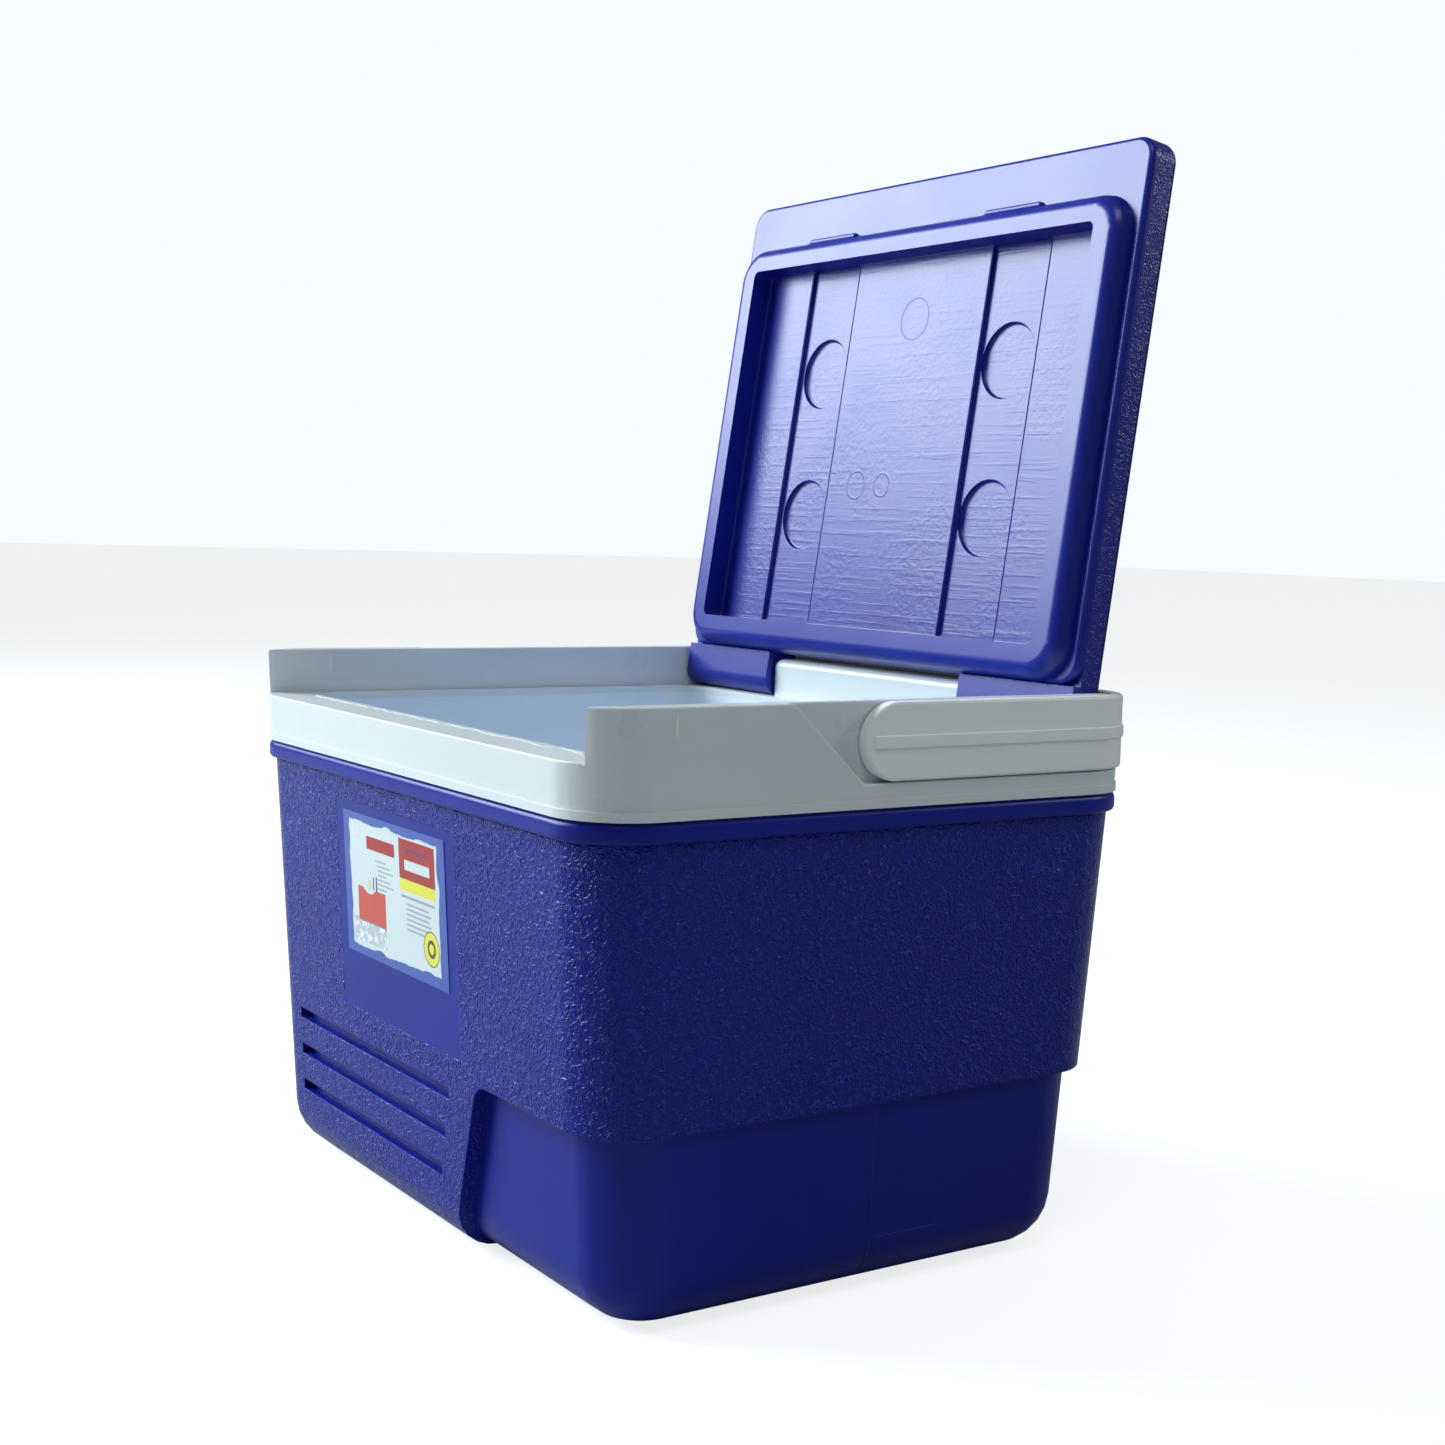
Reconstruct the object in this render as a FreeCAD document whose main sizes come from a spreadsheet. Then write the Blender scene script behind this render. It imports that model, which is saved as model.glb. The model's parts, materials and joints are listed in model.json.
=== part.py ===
import FreeCAD, Part
import math
import os
import re
import Sketcher

# Insulated cooler chest. Millimetres, +Z up. The origin is on the floor under the middle of the chest,
# +X to the right of someone who faces the front, -Y towards them. The lid stands open on its stop and
# the carrying handle lies down round the back.

SIZES = {
    # Overall outline, taken at the collar's lower edge
    "collar_width": 286.0,
    "collar_depth": 240.0,
    "collar_corner": 26.0,
    "rim_height": 172.3,
    # How far each wall leans out for every millimetre of height
    "side_draft": 0.028,
    "face_draft": 0.07,
    # Outer shell
    "body_inset": 2.4,
    "body_corner": 24.0,
    "bottom_round": 19.0,
    "shell_wall": 3.0,
    "bead_height": 7.5,
    "bead_margin": 0.3,
    "bead_top_round": 3.0,
    "bead_foot_round": 1.7,
    # Smooth lower band, set in below the step on the right-hand side and round both corners
    "step_height": 68.0,
    "band_side_depth": 2.0,
    "band_face_depth": 5.6,
    "band_head": 52.5,
    "band_foot": 29.0,
    "band_corner": 9.0,
    # Three grooves beside the band, front and back
    "groove_left": 107.0,
    "groove_right": 30.4,
    "groove_lean": 0.26,
    "groove_top": 59.6,
    "groove_pitch": 15.2,
    "groove_width": 4.2,
    "groove_depth": 4.0,
    # Grip notches under the two side edges
    "notch_height": 2.4,
    "notch_start": 85.0,
    "notch_front": 32.0,
    "notch_peak": 4.0,
    "notch_rear": 9.0,
    "notch_end": 12.5,
    # Collar
    "lip_proud": 0.8,
    "lip_height": 3.1,
    "collar_wall": 3.0,
    "deck_height": 190.9,
    "deck_wall": 3.0,
    "deck_corner": 4.0,
    "wing_width": 11.1,
    "wing_draft": 0.079,
    "wing_cover": 2.5,
    "rear_wall": 11.3,
    "recess_wall": 2.0,
    "wing_hollow_width": 5.0,
    "wing_hollow_front": 92.0,
    "wing_hollow_rear": 54.0,
    "side_ledge": 4.4,
    "front_ledge": 18.8,
    "rear_ledge": 29.0,
    "mouth_corner": 15.0,
    # Hinge block on the collar's deck
    "block_side": 64.0,
    "block_reach": 3.3,
    "block_cover": 1.6,
    "block_round": 3.6,
    # Liner tub
    "liner_wall": 2.2,
    "liner_floor": 32.0,
    "liner_draft": 0.045,
    "liner_round": 14.0,
    # Clearances: foam to its neighbours, pins and studs in their holes, parts that swing past each other
    "foam_gap": 0.3,
    "running_fit": 0.06,
    "swing_gap": 0.5,
    "rear_swing_gap": 1.4,
    "handle_top_gap": 0.2,
    "lid_gap": 1.5,
    "lid_rest_gap": 0.3,
    "plug_gap": 1.5,
    "plug_rear_gap": 3.6,
    # Handle
    "handle_proud": 0.6,
    "handle_corner": 25.0,
    "handle_wall": 4.7,
    "handle_height": 27.3,
    "handle_edge_round": 1.2,
    "pivot_depth": 0.6,
    "stud_radius": 4.5,
    "stud_length": 4.0,
    "rib_height": 4.2,
    "rib_proud": 0.7,
    "rib_start": 9.5,
    "slant_head": 44.0,
    "slant_foot": 12.5,
    # Lid, with its hinge
    "hinge_setback": 20.7,
    "open_angle": 98.3,
    "lid_setback": 11.3,
    "lid_overhang": 1.6,
    "lid_thickness": 15.0,
    "lid_corner": 9.0,
    "lid_top_round": 4.0,
    "lid_wall": 2.5,
    "pin_radius": 2.5,
    "pin_in_wing": 5.1,
    "pin_in_block": 8.0,
    # Lid's inner panel
    "panel_wall": 2.2,
    "panel_edge": 3.5,
    "panel_edge_round": 2.2,
    "plug_height": 7.7,
    "plug_corner": 15.0,
    "plug_draft": 0.15,
    "plug_round": 5.5,
    "plug_rim": 5.0,
    "window_side_rim": 13.6,
    "window_front_rim": 11.6,
    "window_rear_rim": 13.0,
    "window_corner": 3.0,
    "window_depth": 10.4,
    "channel_inner": 44.5,
    "channel_outer": 78.9,
    "channel_depth": 1.7,
    "dimple_radius": 15.7,
    "dimple_centre": 61.3,
    "dimple_front": 39.6,
    "dimple_rear": 24.8,
    "dimple_depth": 1.8,
    "nib_centre": 60.0,
    "nib_length": 33.0,
    "nib_height": 3.2,
    "nib_proud": 1.2,
    # Label
    "label_left": 53.0,
    "label_right": 35.0,
    "label_foot": 97.0,
    "label_head": 152.3,
    "label_thickness": 0.25,
}

# Sizes that follow from others, so that pieces that fit each other change together
FITS = {
    # Collar, and the room under its deck
    "deck_side": "(collar_width / 2 - wing_width)",
    "wing_top": "(hinge_height + lid_thickness / 2 + wing_cover)",
    "rear_wall_face": "(collar_depth / 2 - rear_wall)",
    "mouth_side": "(deck_side - side_ledge)",
    "mouth_front": "(collar_depth / 2 - front_ledge)",
    "mouth_rear": "(collar_depth / 2 - rear_ledge)",
    "room_side": "(recess_side - recess_wall)",
    "room_front": "(collar_depth / 2 - lip_proud - collar_wall)",
    "room_rear": "(recess_rear - recess_wall)",
    "room_corner": "(recess_corner - recess_wall)",
    # Handle, and the recess that it lies in
    "handle_side": "(collar_width / 2 + handle_proud)",
    "handle_rear": "(collar_depth / 2 + handle_proud)",
    "pivot_height": "(wing_top - handle_height / 2 - handle_top_gap)",
    "recess_side": "(handle_side - handle_wall - swing_gap)",
    "recess_rear": "(handle_rear - handle_wall - rear_swing_gap)",
    "recess_corner": "(handle_corner - handle_wall - swing_gap)",
    "recess_floor": "(pivot_height - handle_height / 2 - swing_gap)",
    "stud_end": "(handle_side - handle_wall - stud_length)",
    # Hinge
    "hinge_depth": "(collar_depth / 2 - hinge_setback)",
    "hinge_height": "(deck_height + lid_rest_gap + lid_thickness / 2)",
    "block_face": "(hinge_depth - block_reach)",
    "block_top": "(hinge_height + lid_thickness / 2 + block_cover)",
    "lug_inner": "(block_side + lid_gap)",
    "pin_outer_end": "(deck_side + pin_in_wing)",
    "pin_inner_end": "(block_side - pin_in_block)",
    # Lid
    "lid_side": "(deck_side - lid_gap)",
    "lid_front": "(collar_depth / 2 + lid_overhang)",
    "lid_rear": "(hinge_depth - lid_setback)",
    "plug_side": "(mouth_side - plug_gap)",
    "plug_front": "(mouth_front - plug_gap)",
    "plug_rear": "(mouth_rear - plug_rear_gap)",
    "window_side": "(plug_side - window_side_rim)",
    "window_front": "(plug_front - window_front_rim)",
    "window_rear": "(plug_rear - window_rear_rim)",
}

ROUND_STEPS = 6     # flats that make up the rounding of a lower edge
BEYOND = 40.0       # how far a cutting shape runs past the outline, so that it cuts right through

doc = FreeCAD.newDocument("cooler_chest")
sheet = doc.addObject("Spreadsheet::Sheet", "Sizes")
for row, (alias, size) in enumerate(SIZES.items(), start=1):
    sheet.set(f"A{row}", alias)
    sheet.set(f"B{row}", str(size))
    sheet.setAlias(f"B{row}", alias)
doc.recompute()


# ---------------------------------------------------------------- values from the sheet

def bound(formula):
    """The formula with each size's name written as its address in the sheet, and each fit written out."""
    def address(match):
        name = match.group(0)
        if name in FITS:
            return bound(FITS[name])
        return f"Sizes.{name}" if name in SIZES else name
    return re.sub(r"[a-z][a-z_]*", address, str(formula))


def number(formula):
    """The formula's present value."""
    return float(sheet.evalExpression(bound(formula)))


def shell_half_width(height):
    """Half the shell's width at a height, as a formula."""
    return f"(collar_width / 2 - body_inset - side_draft * (rim_height - ({height})))"


def shell_half_depth(height):
    """Half the shell's depth at a height, as a formula."""
    return f"(collar_depth / 2 - body_inset - face_draft * (rim_height - ({height})))"


# ---------------------------------------------------------------- sketches and features

def new_body(name):
    body = doc.addObject("PartDesign::Body", name)
    body.Label = name
    return body


def new_sketch(body, name, plane="XY_Plane", offset="0"):
    """A sketch on one of the body's own origin planes, moved along the plane's normal."""
    sketch = body.newObject("Sketcher::SketchObject", name)
    support = [item for item in body.Origin.OriginFeatures if item.Role == plane][0]
    sketch.AttachmentSupport = [(support, "")]
    sketch.MapMode = "FlatFace"
    sketch.setExpression("AttachmentOffset.Base.z", bound(offset))
    return sketch


def dimension(sketch, formula, kind, *places):
    """A driving dimension tied to the sheet."""
    index = sketch.addConstraint(Sketcher.Constraint(kind, *places, number(formula)))
    sketch.setExpression(f"Constraints[{index}]", bound(formula))


def place_point(sketch, edge, end, x, y):
    """Holds one end of an edge at a place measured from the sketch's origin."""
    dimension(sketch, x, "DistanceX", -1, 1, edge, end)
    dimension(sketch, y, "DistanceY", -1, 1, edge, end)


def add_polygon(sketch, corners):
    """A closed outline of straight lines, every corner placed by two formulas."""
    points = [FreeCAD.Vector(number(x), number(y), 0) for x, y in corners]
    first = sketch.GeometryCount
    count = len(points)
    for i in range(count):
        sketch.addGeometry(Part.LineSegment(points[i], points[(i + 1) % count]))
    for i in range(count):
        following = first + (i + 1) % count
        sketch.addConstraint(Sketcher.Constraint("Coincident", first + i, 2, following, 1))
        place_point(sketch, first + i, 1, *corners[i])


def add_circle(sketch, x, y, radius):
    centre = FreeCAD.Vector(number(x), number(y), 0)
    edge = sketch.addGeometry(Part.Circle(centre, FreeCAD.Vector(0, 0, 1), number(radius)))
    place_point(sketch, edge, 3, x, y)
    dimension(sketch, radius, "Radius", edge)


def add_arc(sketch, x, y, radius, start, end):
    circle = Part.Circle(FreeCAD.Vector(x, y, 0), FreeCAD.Vector(0, 0, 1), radius)
    return sketch.addGeometry(Part.ArcOfCircle(circle, math.radians(start), math.radians(end)))


def add_line(sketch, x0, y0, x1, y1):
    return sketch.addGeometry(Part.LineSegment(FreeCAD.Vector(x0, y0, 0), FreeCAD.Vector(x1, y1, 0)))


def add_rounded_rectangle(sketch, side, front, rear, corner):
    """A rectangle with round corners: side is to both sides of the origin, front and rear below and above."""
    s, f, b, c = number(side), number(front), number(rear), number(corner)
    foot = add_line(sketch, c - s, -f, s - c, -f)
    foot_right = add_arc(sketch, s - c, c - f, c, 270, 360)
    right = add_line(sketch, s, c - f, s, b - c)
    head_right = add_arc(sketch, s - c, b - c, c, 0, 90)
    head = add_line(sketch, s - c, b, c - s, b)
    head_left = add_arc(sketch, c - s, b - c, c, 90, 180)
    left = add_line(sketch, -s, b - c, -s, c - f)
    foot_left = add_arc(sketch, c - s, c - f, c, 180, 270)
    edges = [foot, foot_right, right, head_right, head, head_left, left, foot_left]
    for edge, following in zip(edges, edges[1:] + edges[:1]):
        sketch.addConstraint(Sketcher.Constraint("Tangent", edge, 2, following, 1))
    for edge in (foot, head):
        sketch.addConstraint(Sketcher.Constraint("Horizontal", edge))
    for edge in (left, right):
        sketch.addConstraint(Sketcher.Constraint("Vertical", edge))
    for edge in (head_right, head_left, foot_left):
        sketch.addConstraint(Sketcher.Constraint("Equal", foot_right, edge))
    dimension(sketch, corner, "Radius", foot_right)
    dimension(sketch, side, "DistanceX", -1, 1, right, 1)
    dimension(sketch, side, "DistanceX", left, 1, -1, 1)
    dimension(sketch, front, "DistanceY", foot, 1, -1, 1)
    dimension(sketch, rear, "DistanceY", -1, 1, head, 1)


def add_u_band(sketch, front, inner, outer):
    """A band back along both sides and across the rear. inner and outer give (side, rear, corner)."""
    f = number(front)
    si, bi, ci = (number(value) for value in inner)
    so, bo, co = (number(value) for value in outer)
    outer_left = add_line(sketch, -so, -f, -so, bo - co)
    outer_left_arc = add_arc(sketch, co - so, bo - co, co, 90, 180)
    outer_rear = add_line(sketch, co - so, bo, so - co, bo)
    outer_right_arc = add_arc(sketch, so - co, bo - co, co, 0, 90)
    outer_right = add_line(sketch, so, bo - co, so, -f)
    end_right = add_line(sketch, so, -f, si, -f)
    inner_right = add_line(sketch, si, -f, si, bi - ci)
    inner_right_arc = add_arc(sketch, si - ci, bi - ci, ci, 0, 90)
    inner_rear = add_line(sketch, si - ci, bi, ci - si, bi)
    inner_left_arc = add_arc(sketch, ci - si, bi - ci, ci, 90, 180)
    inner_left = add_line(sketch, -si, bi - ci, -si, -f)
    end_left = add_line(sketch, -si, -f, -so, -f)
    tangents = [
        (outer_left, 2, outer_left_arc, 2), (outer_left_arc, 1, outer_rear, 1),
        (outer_rear, 2, outer_right_arc, 2), (outer_right_arc, 1, outer_right, 1),
        (inner_right, 2, inner_right_arc, 1), (inner_right_arc, 2, inner_rear, 1),
        (inner_rear, 2, inner_left_arc, 1), (inner_left_arc, 2, inner_left, 1),
    ]
    for tangent in tangents:
        sketch.addConstraint(Sketcher.Constraint("Tangent", *tangent))
    corners = [
        (outer_right, 2, end_right, 1), (end_right, 2, inner_right, 1),
        (inner_left, 2, end_left, 1), (end_left, 2, outer_left, 1),
    ]
    for corner in corners:
        sketch.addConstraint(Sketcher.Constraint("Coincident", *corner))
    for edge in (outer_rear, inner_rear, end_right, end_left):
        sketch.addConstraint(Sketcher.Constraint("Horizontal", edge))
    for edge in (outer_left, outer_right, inner_left, inner_right):
        sketch.addConstraint(Sketcher.Constraint("Vertical", edge))
    sketch.addConstraint(Sketcher.Constraint("Equal", outer_left_arc, outer_right_arc))
    sketch.addConstraint(Sketcher.Constraint("Equal", inner_left_arc, inner_right_arc))
    dimension(sketch, outer[2], "Radius", outer_left_arc)
    dimension(sketch, inner[2], "Radius", inner_left_arc)
    dimension(sketch, outer[0], "DistanceX", -1, 1, outer_right, 1)
    dimension(sketch, outer[0], "DistanceX", outer_left, 1, -1, 1)
    dimension(sketch, inner[0], "DistanceX", -1, 1, inner_right, 1)
    dimension(sketch, inner[0], "DistanceX", inner_left, 1, -1, 1)
    dimension(sketch, outer[1], "DistanceY", -1, 1, outer_rear, 1)
    dimension(sketch, inner[1], "DistanceY", -1, 1, inner_rear, 1)
    dimension(sketch, front, "DistanceY", end_right, 1, -1, 1)
    dimension(sketch, front, "DistanceY", end_left, 1, -1, 1)


def add_feature(body, kind, name, sketch, length, reverse=False):
    feature = body.newObject(f"PartDesign::{kind}", name)
    feature.Profile = sketch
    feature.Reversed = reverse
    feature.setExpression("Length", bound(length))
    sketch.Visibility = False
    doc.recompute()
    return feature


def add_pad(body, name, sketch, length, reverse=False):
    return add_feature(body, "Pad", name, sketch, length, reverse)


def cut_pocket(body, name, sketch, length, reverse=False):
    """A pocket, which runs against the sketch's normal unless reversed. It has to take something away."""
    before = body.Shape.Volume
    feature = add_feature(body, "Pocket", name, sketch, length, reverse)
    if not body.Shape.Volume < before:
        raise RuntimeError(f"{body.Label}: {name} cuts nothing")
    return feature


def add_loft(body, name, sections, kind="AdditiveLoft"):
    feature = body.newObject(f"PartDesign::{kind}", name)
    feature.Profile = sections[0]
    feature.Sections = sections[1:]
    feature.Ruled = True
    doc.recompute()
    return feature


def add_tapered_form(body, name, outline, floor, top, rounding="0", kind="AdditiveLoft"):
    """A form with a rounded lower edge. outline(height) gives its side, front, rear and corner."""
    steps = ROUND_STEPS if rounding != "0" else 0
    levels = []
    for i in range(steps):
        turn = math.radians(90 * i / steps)
        levels.append((f"{floor} + ({rounding}) * {1 - math.cos(turn):.6f}",
                       f"({rounding}) * {1 - math.sin(turn):.6f}"))
    levels.append((f"{floor} + ({rounding})", "0"))
    levels.append((top, "0"))
    sections = []
    for i, (height, inset) in enumerate(levels):
        side, front, rear, corner = outline(height)
        sketch = new_sketch(body, f"{name}_section_{i + 1}", offset=height)
        add_rounded_rectangle(sketch, f"{side} - {inset}", f"{front} - {inset}", f"{rear} - {inset}",
                              f"{corner} - {inset}")
        sketch.Visibility = False
        sections.append(sketch)
    doc.recompute()
    return add_loft(body, name, sections, kind)


def round_edges(body, name, radius, chosen):
    """Rounds the edges of the body's last feature for which chosen(edge) holds."""
    tip = body.Tip
    edges = [f"Edge{i}" for i, edge in enumerate(tip.Shape.Edges, start=1) if chosen(edge)]
    feature = body.newObject("PartDesign::Fillet", name)
    feature.Base = (tip, edges)
    feature.setExpression("Radius", bound(radius))
    doc.recompute()
    return feature


def level(height):
    """Chooses the edges that lie flat at a height."""
    wanted = number(height)

    def chosen(edge):
        box = edge.BoundBox
        return abs(box.ZMin - wanted) < 0.01 and abs(box.ZMax - wanted) < 0.01
    return chosen


def combine(kind, name, **links):
    feature = doc.addObject(f"Part::{kind}", name)
    for link, target in links.items():
        setattr(feature, link, target)
    doc.recompute()
    return feature


# ---------------------------------------------------------------- the body's outer form

def drafted_block(name, inset, floor, top, side_set_in="0", face_set_in="0"):
    """The shell's outline brought in by inset, from floor to top, with its lower edge rounded."""
    body = new_body(name)

    def outline(height):
        side = f"{shell_half_width(height)} - ({inset}) - {side_set_in}"
        depth = f"{shell_half_depth(height)} - ({inset}) - {face_set_in}"
        return side, depth, depth, f"body_corner - ({inset})"
    add_tapered_form(body, f"{name}_form", outline, floor, top, f"bottom_round - ({inset})")
    return body


def band_cutter(name, grow):
    """Takes the lower band in from the full outline. It leans on the front and back, and is grown by grow."""
    zone = new_body(f"{name}_zone")
    lean = "(band_head - band_foot) / step_height"
    sketch = new_sketch(zone, f"{name}_outline", plane="XZ_Plane", offset="-collar_depth")
    add_polygon(sketch, [
        (f"band_foot - {BEYOND} * {lean} - ({grow})", f"-{BEYOND}"),
        (f"band_head + ({grow}) * ({lean} - 1)", f"step_height + ({grow})"),
        ("collar_width", f"step_height + ({grow})"),
        ("collar_width", f"-{BEYOND}"),
    ])
    add_pad(zone, f"{name}_prism", sketch, "2 * collar_depth")
    head = number(f"band_head + ({grow}) * ({lean} - 1)")

    def is_head_corner(edge):
        box = edge.BoundBox
        return abs(box.XMin - head) < 0.01 and abs(box.XMax - head) < 0.01 and box.YLength > 1
    round_edges(zone, f"{name}_corner", f"band_corner + ({grow})", is_head_corner)
    core = drafted_block(f"{name}_core", grow, "0", "step_height + 5", "band_side_depth", "band_face_depth")
    return combine("Cut", name, Base=zone, Tool=core)


def groove_cutters(name, grow):
    """Three bars that cut the grooves into the front, and three for the back, grown by grow all round."""
    bars = []
    for i in range(3):
        height = f"(groove_top - {i} * groove_pitch)"
        length = f"(groove_left + groove_right - groove_lean * {i} * groove_pitch)"
        for place, sign in (("front", -1), ("rear", 1)):
            bar = doc.addObject("Part::Box", f"{name}_{place}_{i + 1}")
            bar.setExpression("Length", bound(f"{length} + 2 * ({grow})"))
            bar.setExpression("Height", bound(f"groove_width + 2 * ({grow})"))
            bar.setExpression("Width", bound(f"groove_depth + ({grow}) + {BEYOND}"))
            bar.setExpression("Placement.Base.x", bound(f"-groove_left - ({grow})"))
            bar.setExpression("Placement.Base.z", bound(f"{height} - groove_width / 2 - ({grow})"))
            inner = f"{shell_half_depth(height)} - groove_depth - ({grow})"
            if sign > 0:
                bar.setExpression("Placement.Base.y", bound(inner))
            else:
                front_y = f"-({inner}) - groove_depth - ({grow}) - {BEYOND}"
                bar.setExpression("Placement.Base.y", bound(front_y))
            bars.append(bar)
    doc.recompute()
    return combine("MultiFuse", name, Shapes=bars)


def notch_cutters(name):
    """The two wedges that lift the lower edge of each side for the fingers."""
    wedges = []
    for place, sign in (("right", 1), ("left", -1)):
        body = new_body(f"{name}_{place}")
        sketch = new_sketch(body, f"{name}_{place}_profile", plane="YZ_Plane", offset=f"{sign} * notch_start")
        add_polygon(sketch, [
            ("-notch_front", "0"),
            ("notch_peak", "notch_height"),
            ("notch_rear", "notch_height"),
            ("notch_end", "0"),
            ("notch_end", f"-{BEYOND}"),
            ("-notch_front", f"-{BEYOND}"),
        ])
        add_pad(body, f"{name}_{place}_wedge", sketch, "collar_width / 2", reverse=sign < 0)
        wedges.append(body)
    return combine("MultiFuse", name, Shapes=wedges)


def make_outer_shell():
    """One moulded shell: drafted walls, a rounded bead round the top, the band, grooves and notches."""
    block = drafted_block("shell_block", "0", "0", "rim_height")
    bead = new_sketch(block, "bead_outline", offset="rim_height - bead_height")
    add_rounded_rectangle(bead, "collar_width / 2 - bead_margin", "collar_depth / 2 - bead_margin",
                          "collar_depth / 2 - bead_margin", "collar_corner - bead_margin")
    add_pad(block, "bead", bead, "bead_height")
    outline = number("collar_width / 2 - bead_margin")

    def bead_edge(height):
        flat = level(height)
        reach = outline - number("body_inset") / 2
        depth = number("collar_depth / 2 - bead_margin - body_inset / 2")

        def chosen(edge):
            box = edge.BoundBox
            outer = max(abs(box.XMin), abs(box.XMax)) > reach or max(abs(box.YMin), abs(box.YMax)) > depth
            return flat(edge) and outer
        return chosen
    round_edges(block, "bead_top_edge", "bead_top_round", bead_edge("rim_height"))
    round_edges(block, "bead_foot_edge", "bead_foot_round", bead_edge("rim_height - bead_height"))

    cutters = [band_cutter("band", "0"), groove_cutters("grooves", "0"), notch_cutters("notches")]
    cutter = combine("MultiFuse", "shell_cutters", Shapes=cutters)
    outer = combine("Cut", "shell_outer", Base=block, Tool=cutter)
    room = drafted_block("shell_room", "shell_wall", "shell_wall + notch_height", "rim_height + 5")
    backs = [band_cutter("band_back", "shell_wall"), groove_cutters("groove_backs", "shell_wall")]
    cutter = combine("MultiFuse", "hollow_cutters", Shapes=backs)
    room = combine("Cut", "shell_hollow", Base=room, Tool=cutter)
    return combine("Cut", "outer_shell", Base=outer, Tool=room)


LINER_TOP = "(deck_height - deck_wall)"


def add_room_outline(sketch, gap):
    """The outline of the room under the collar's deck, less a gap all round."""
    add_rounded_rectangle(sketch, f"room_side - {gap}", f"room_front - {gap}", f"room_rear - {gap}",
                          f"room_corner - {gap}")


def liner_form(body, name, floor, top, grow, rounding, kind="AdditiveLoft"):
    """The tub's form between two heights: it narrows downwards and is grown by grow on every side."""
    def outline(height):
        change = f"({grow}) - liner_draft * (deck_height - ({height}))"
        return (f"mouth_side + {change}", f"mouth_front + {change}", f"mouth_rear + {change}",
                f"mouth_corner + ({grow})")
    return add_tapered_form(body, name, outline, floor, top, rounding, kind)


def make_body_foam():
    """Foam poured between the shell and the liner."""
    gap = "(shell_wall + foam_gap)"
    block = drafted_block("foam_block", gap, "shell_wall + notch_height + foam_gap", "rim_height - foam_gap")
    neck = new_sketch(block, "foam_neck_outline", offset="rim_height - 2 * foam_gap")
    add_rounded_rectangle(neck, "room_side - foam_gap", f"{shell_half_depth('rim_height')} - {gap}",
                          "room_rear - foam_gap", "room_corner - foam_gap")
    add_pad(block, "foam_neck", neck, f"{LINER_TOP} - liner_wall - foam_gap - (rim_height - 2 * foam_gap)")
    backs = [band_cutter("band_foam", gap), groove_cutters("groove_foam", gap)]
    block = combine("Cut", "foam_outer", Base=block, Tool=combine("MultiFuse", "foam_cutters", Shapes=backs))
    room = new_body("foam_room")
    liner_form(room, "foam_room_form", "(liner_floor - liner_wall - foam_gap)", f"{LINER_TOP} + {BEYOND}",
               "liner_wall + foam_gap", "liner_round + liner_wall + foam_gap")
    return combine("Cut", "body_foam", Base=block, Tool=room)


def make_liner():
    """The tub: thin drafted walls, a rounded floor, and a flange that is welded under the collar's deck."""
    body = new_body("liner_tub")
    liner_form(body, "liner_outside", "(liner_floor - liner_wall)", LINER_TOP, "liner_wall",
               "liner_round + liner_wall")
    flange = new_sketch(body, "liner_flange_outline", offset=f"{LINER_TOP} - liner_wall")
    add_room_outline(flange, "foam_gap")
    add_pad(body, "liner_flange", flange, "liner_wall")
    liner_form(body, "liner_inside", "liner_floor", f"{LINER_TOP} + 1", "0", "liner_round", "SubtractiveLoft")
    return body


# ---------------------------------------------------------------- collar

def cut_pin_holes(body, name, outer_end, inner_end):
    """A hole for each hinge pin, from outer_end to inner_end on both sides."""
    for place, sign in (("right", 1), ("left", -1)):
        sketch = new_sketch(body, f"{name}_{place}_circle", plane="YZ_Plane",
                            offset=f"{sign} * ({outer_end})")
        add_circle(sketch, "hinge_depth", "hinge_height", "pin_radius + running_fit")
        cut_pocket(body, f"{name}_{place}", sketch, f"({outer_end}) - ({inner_end})", reverse=sign < 0)


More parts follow.
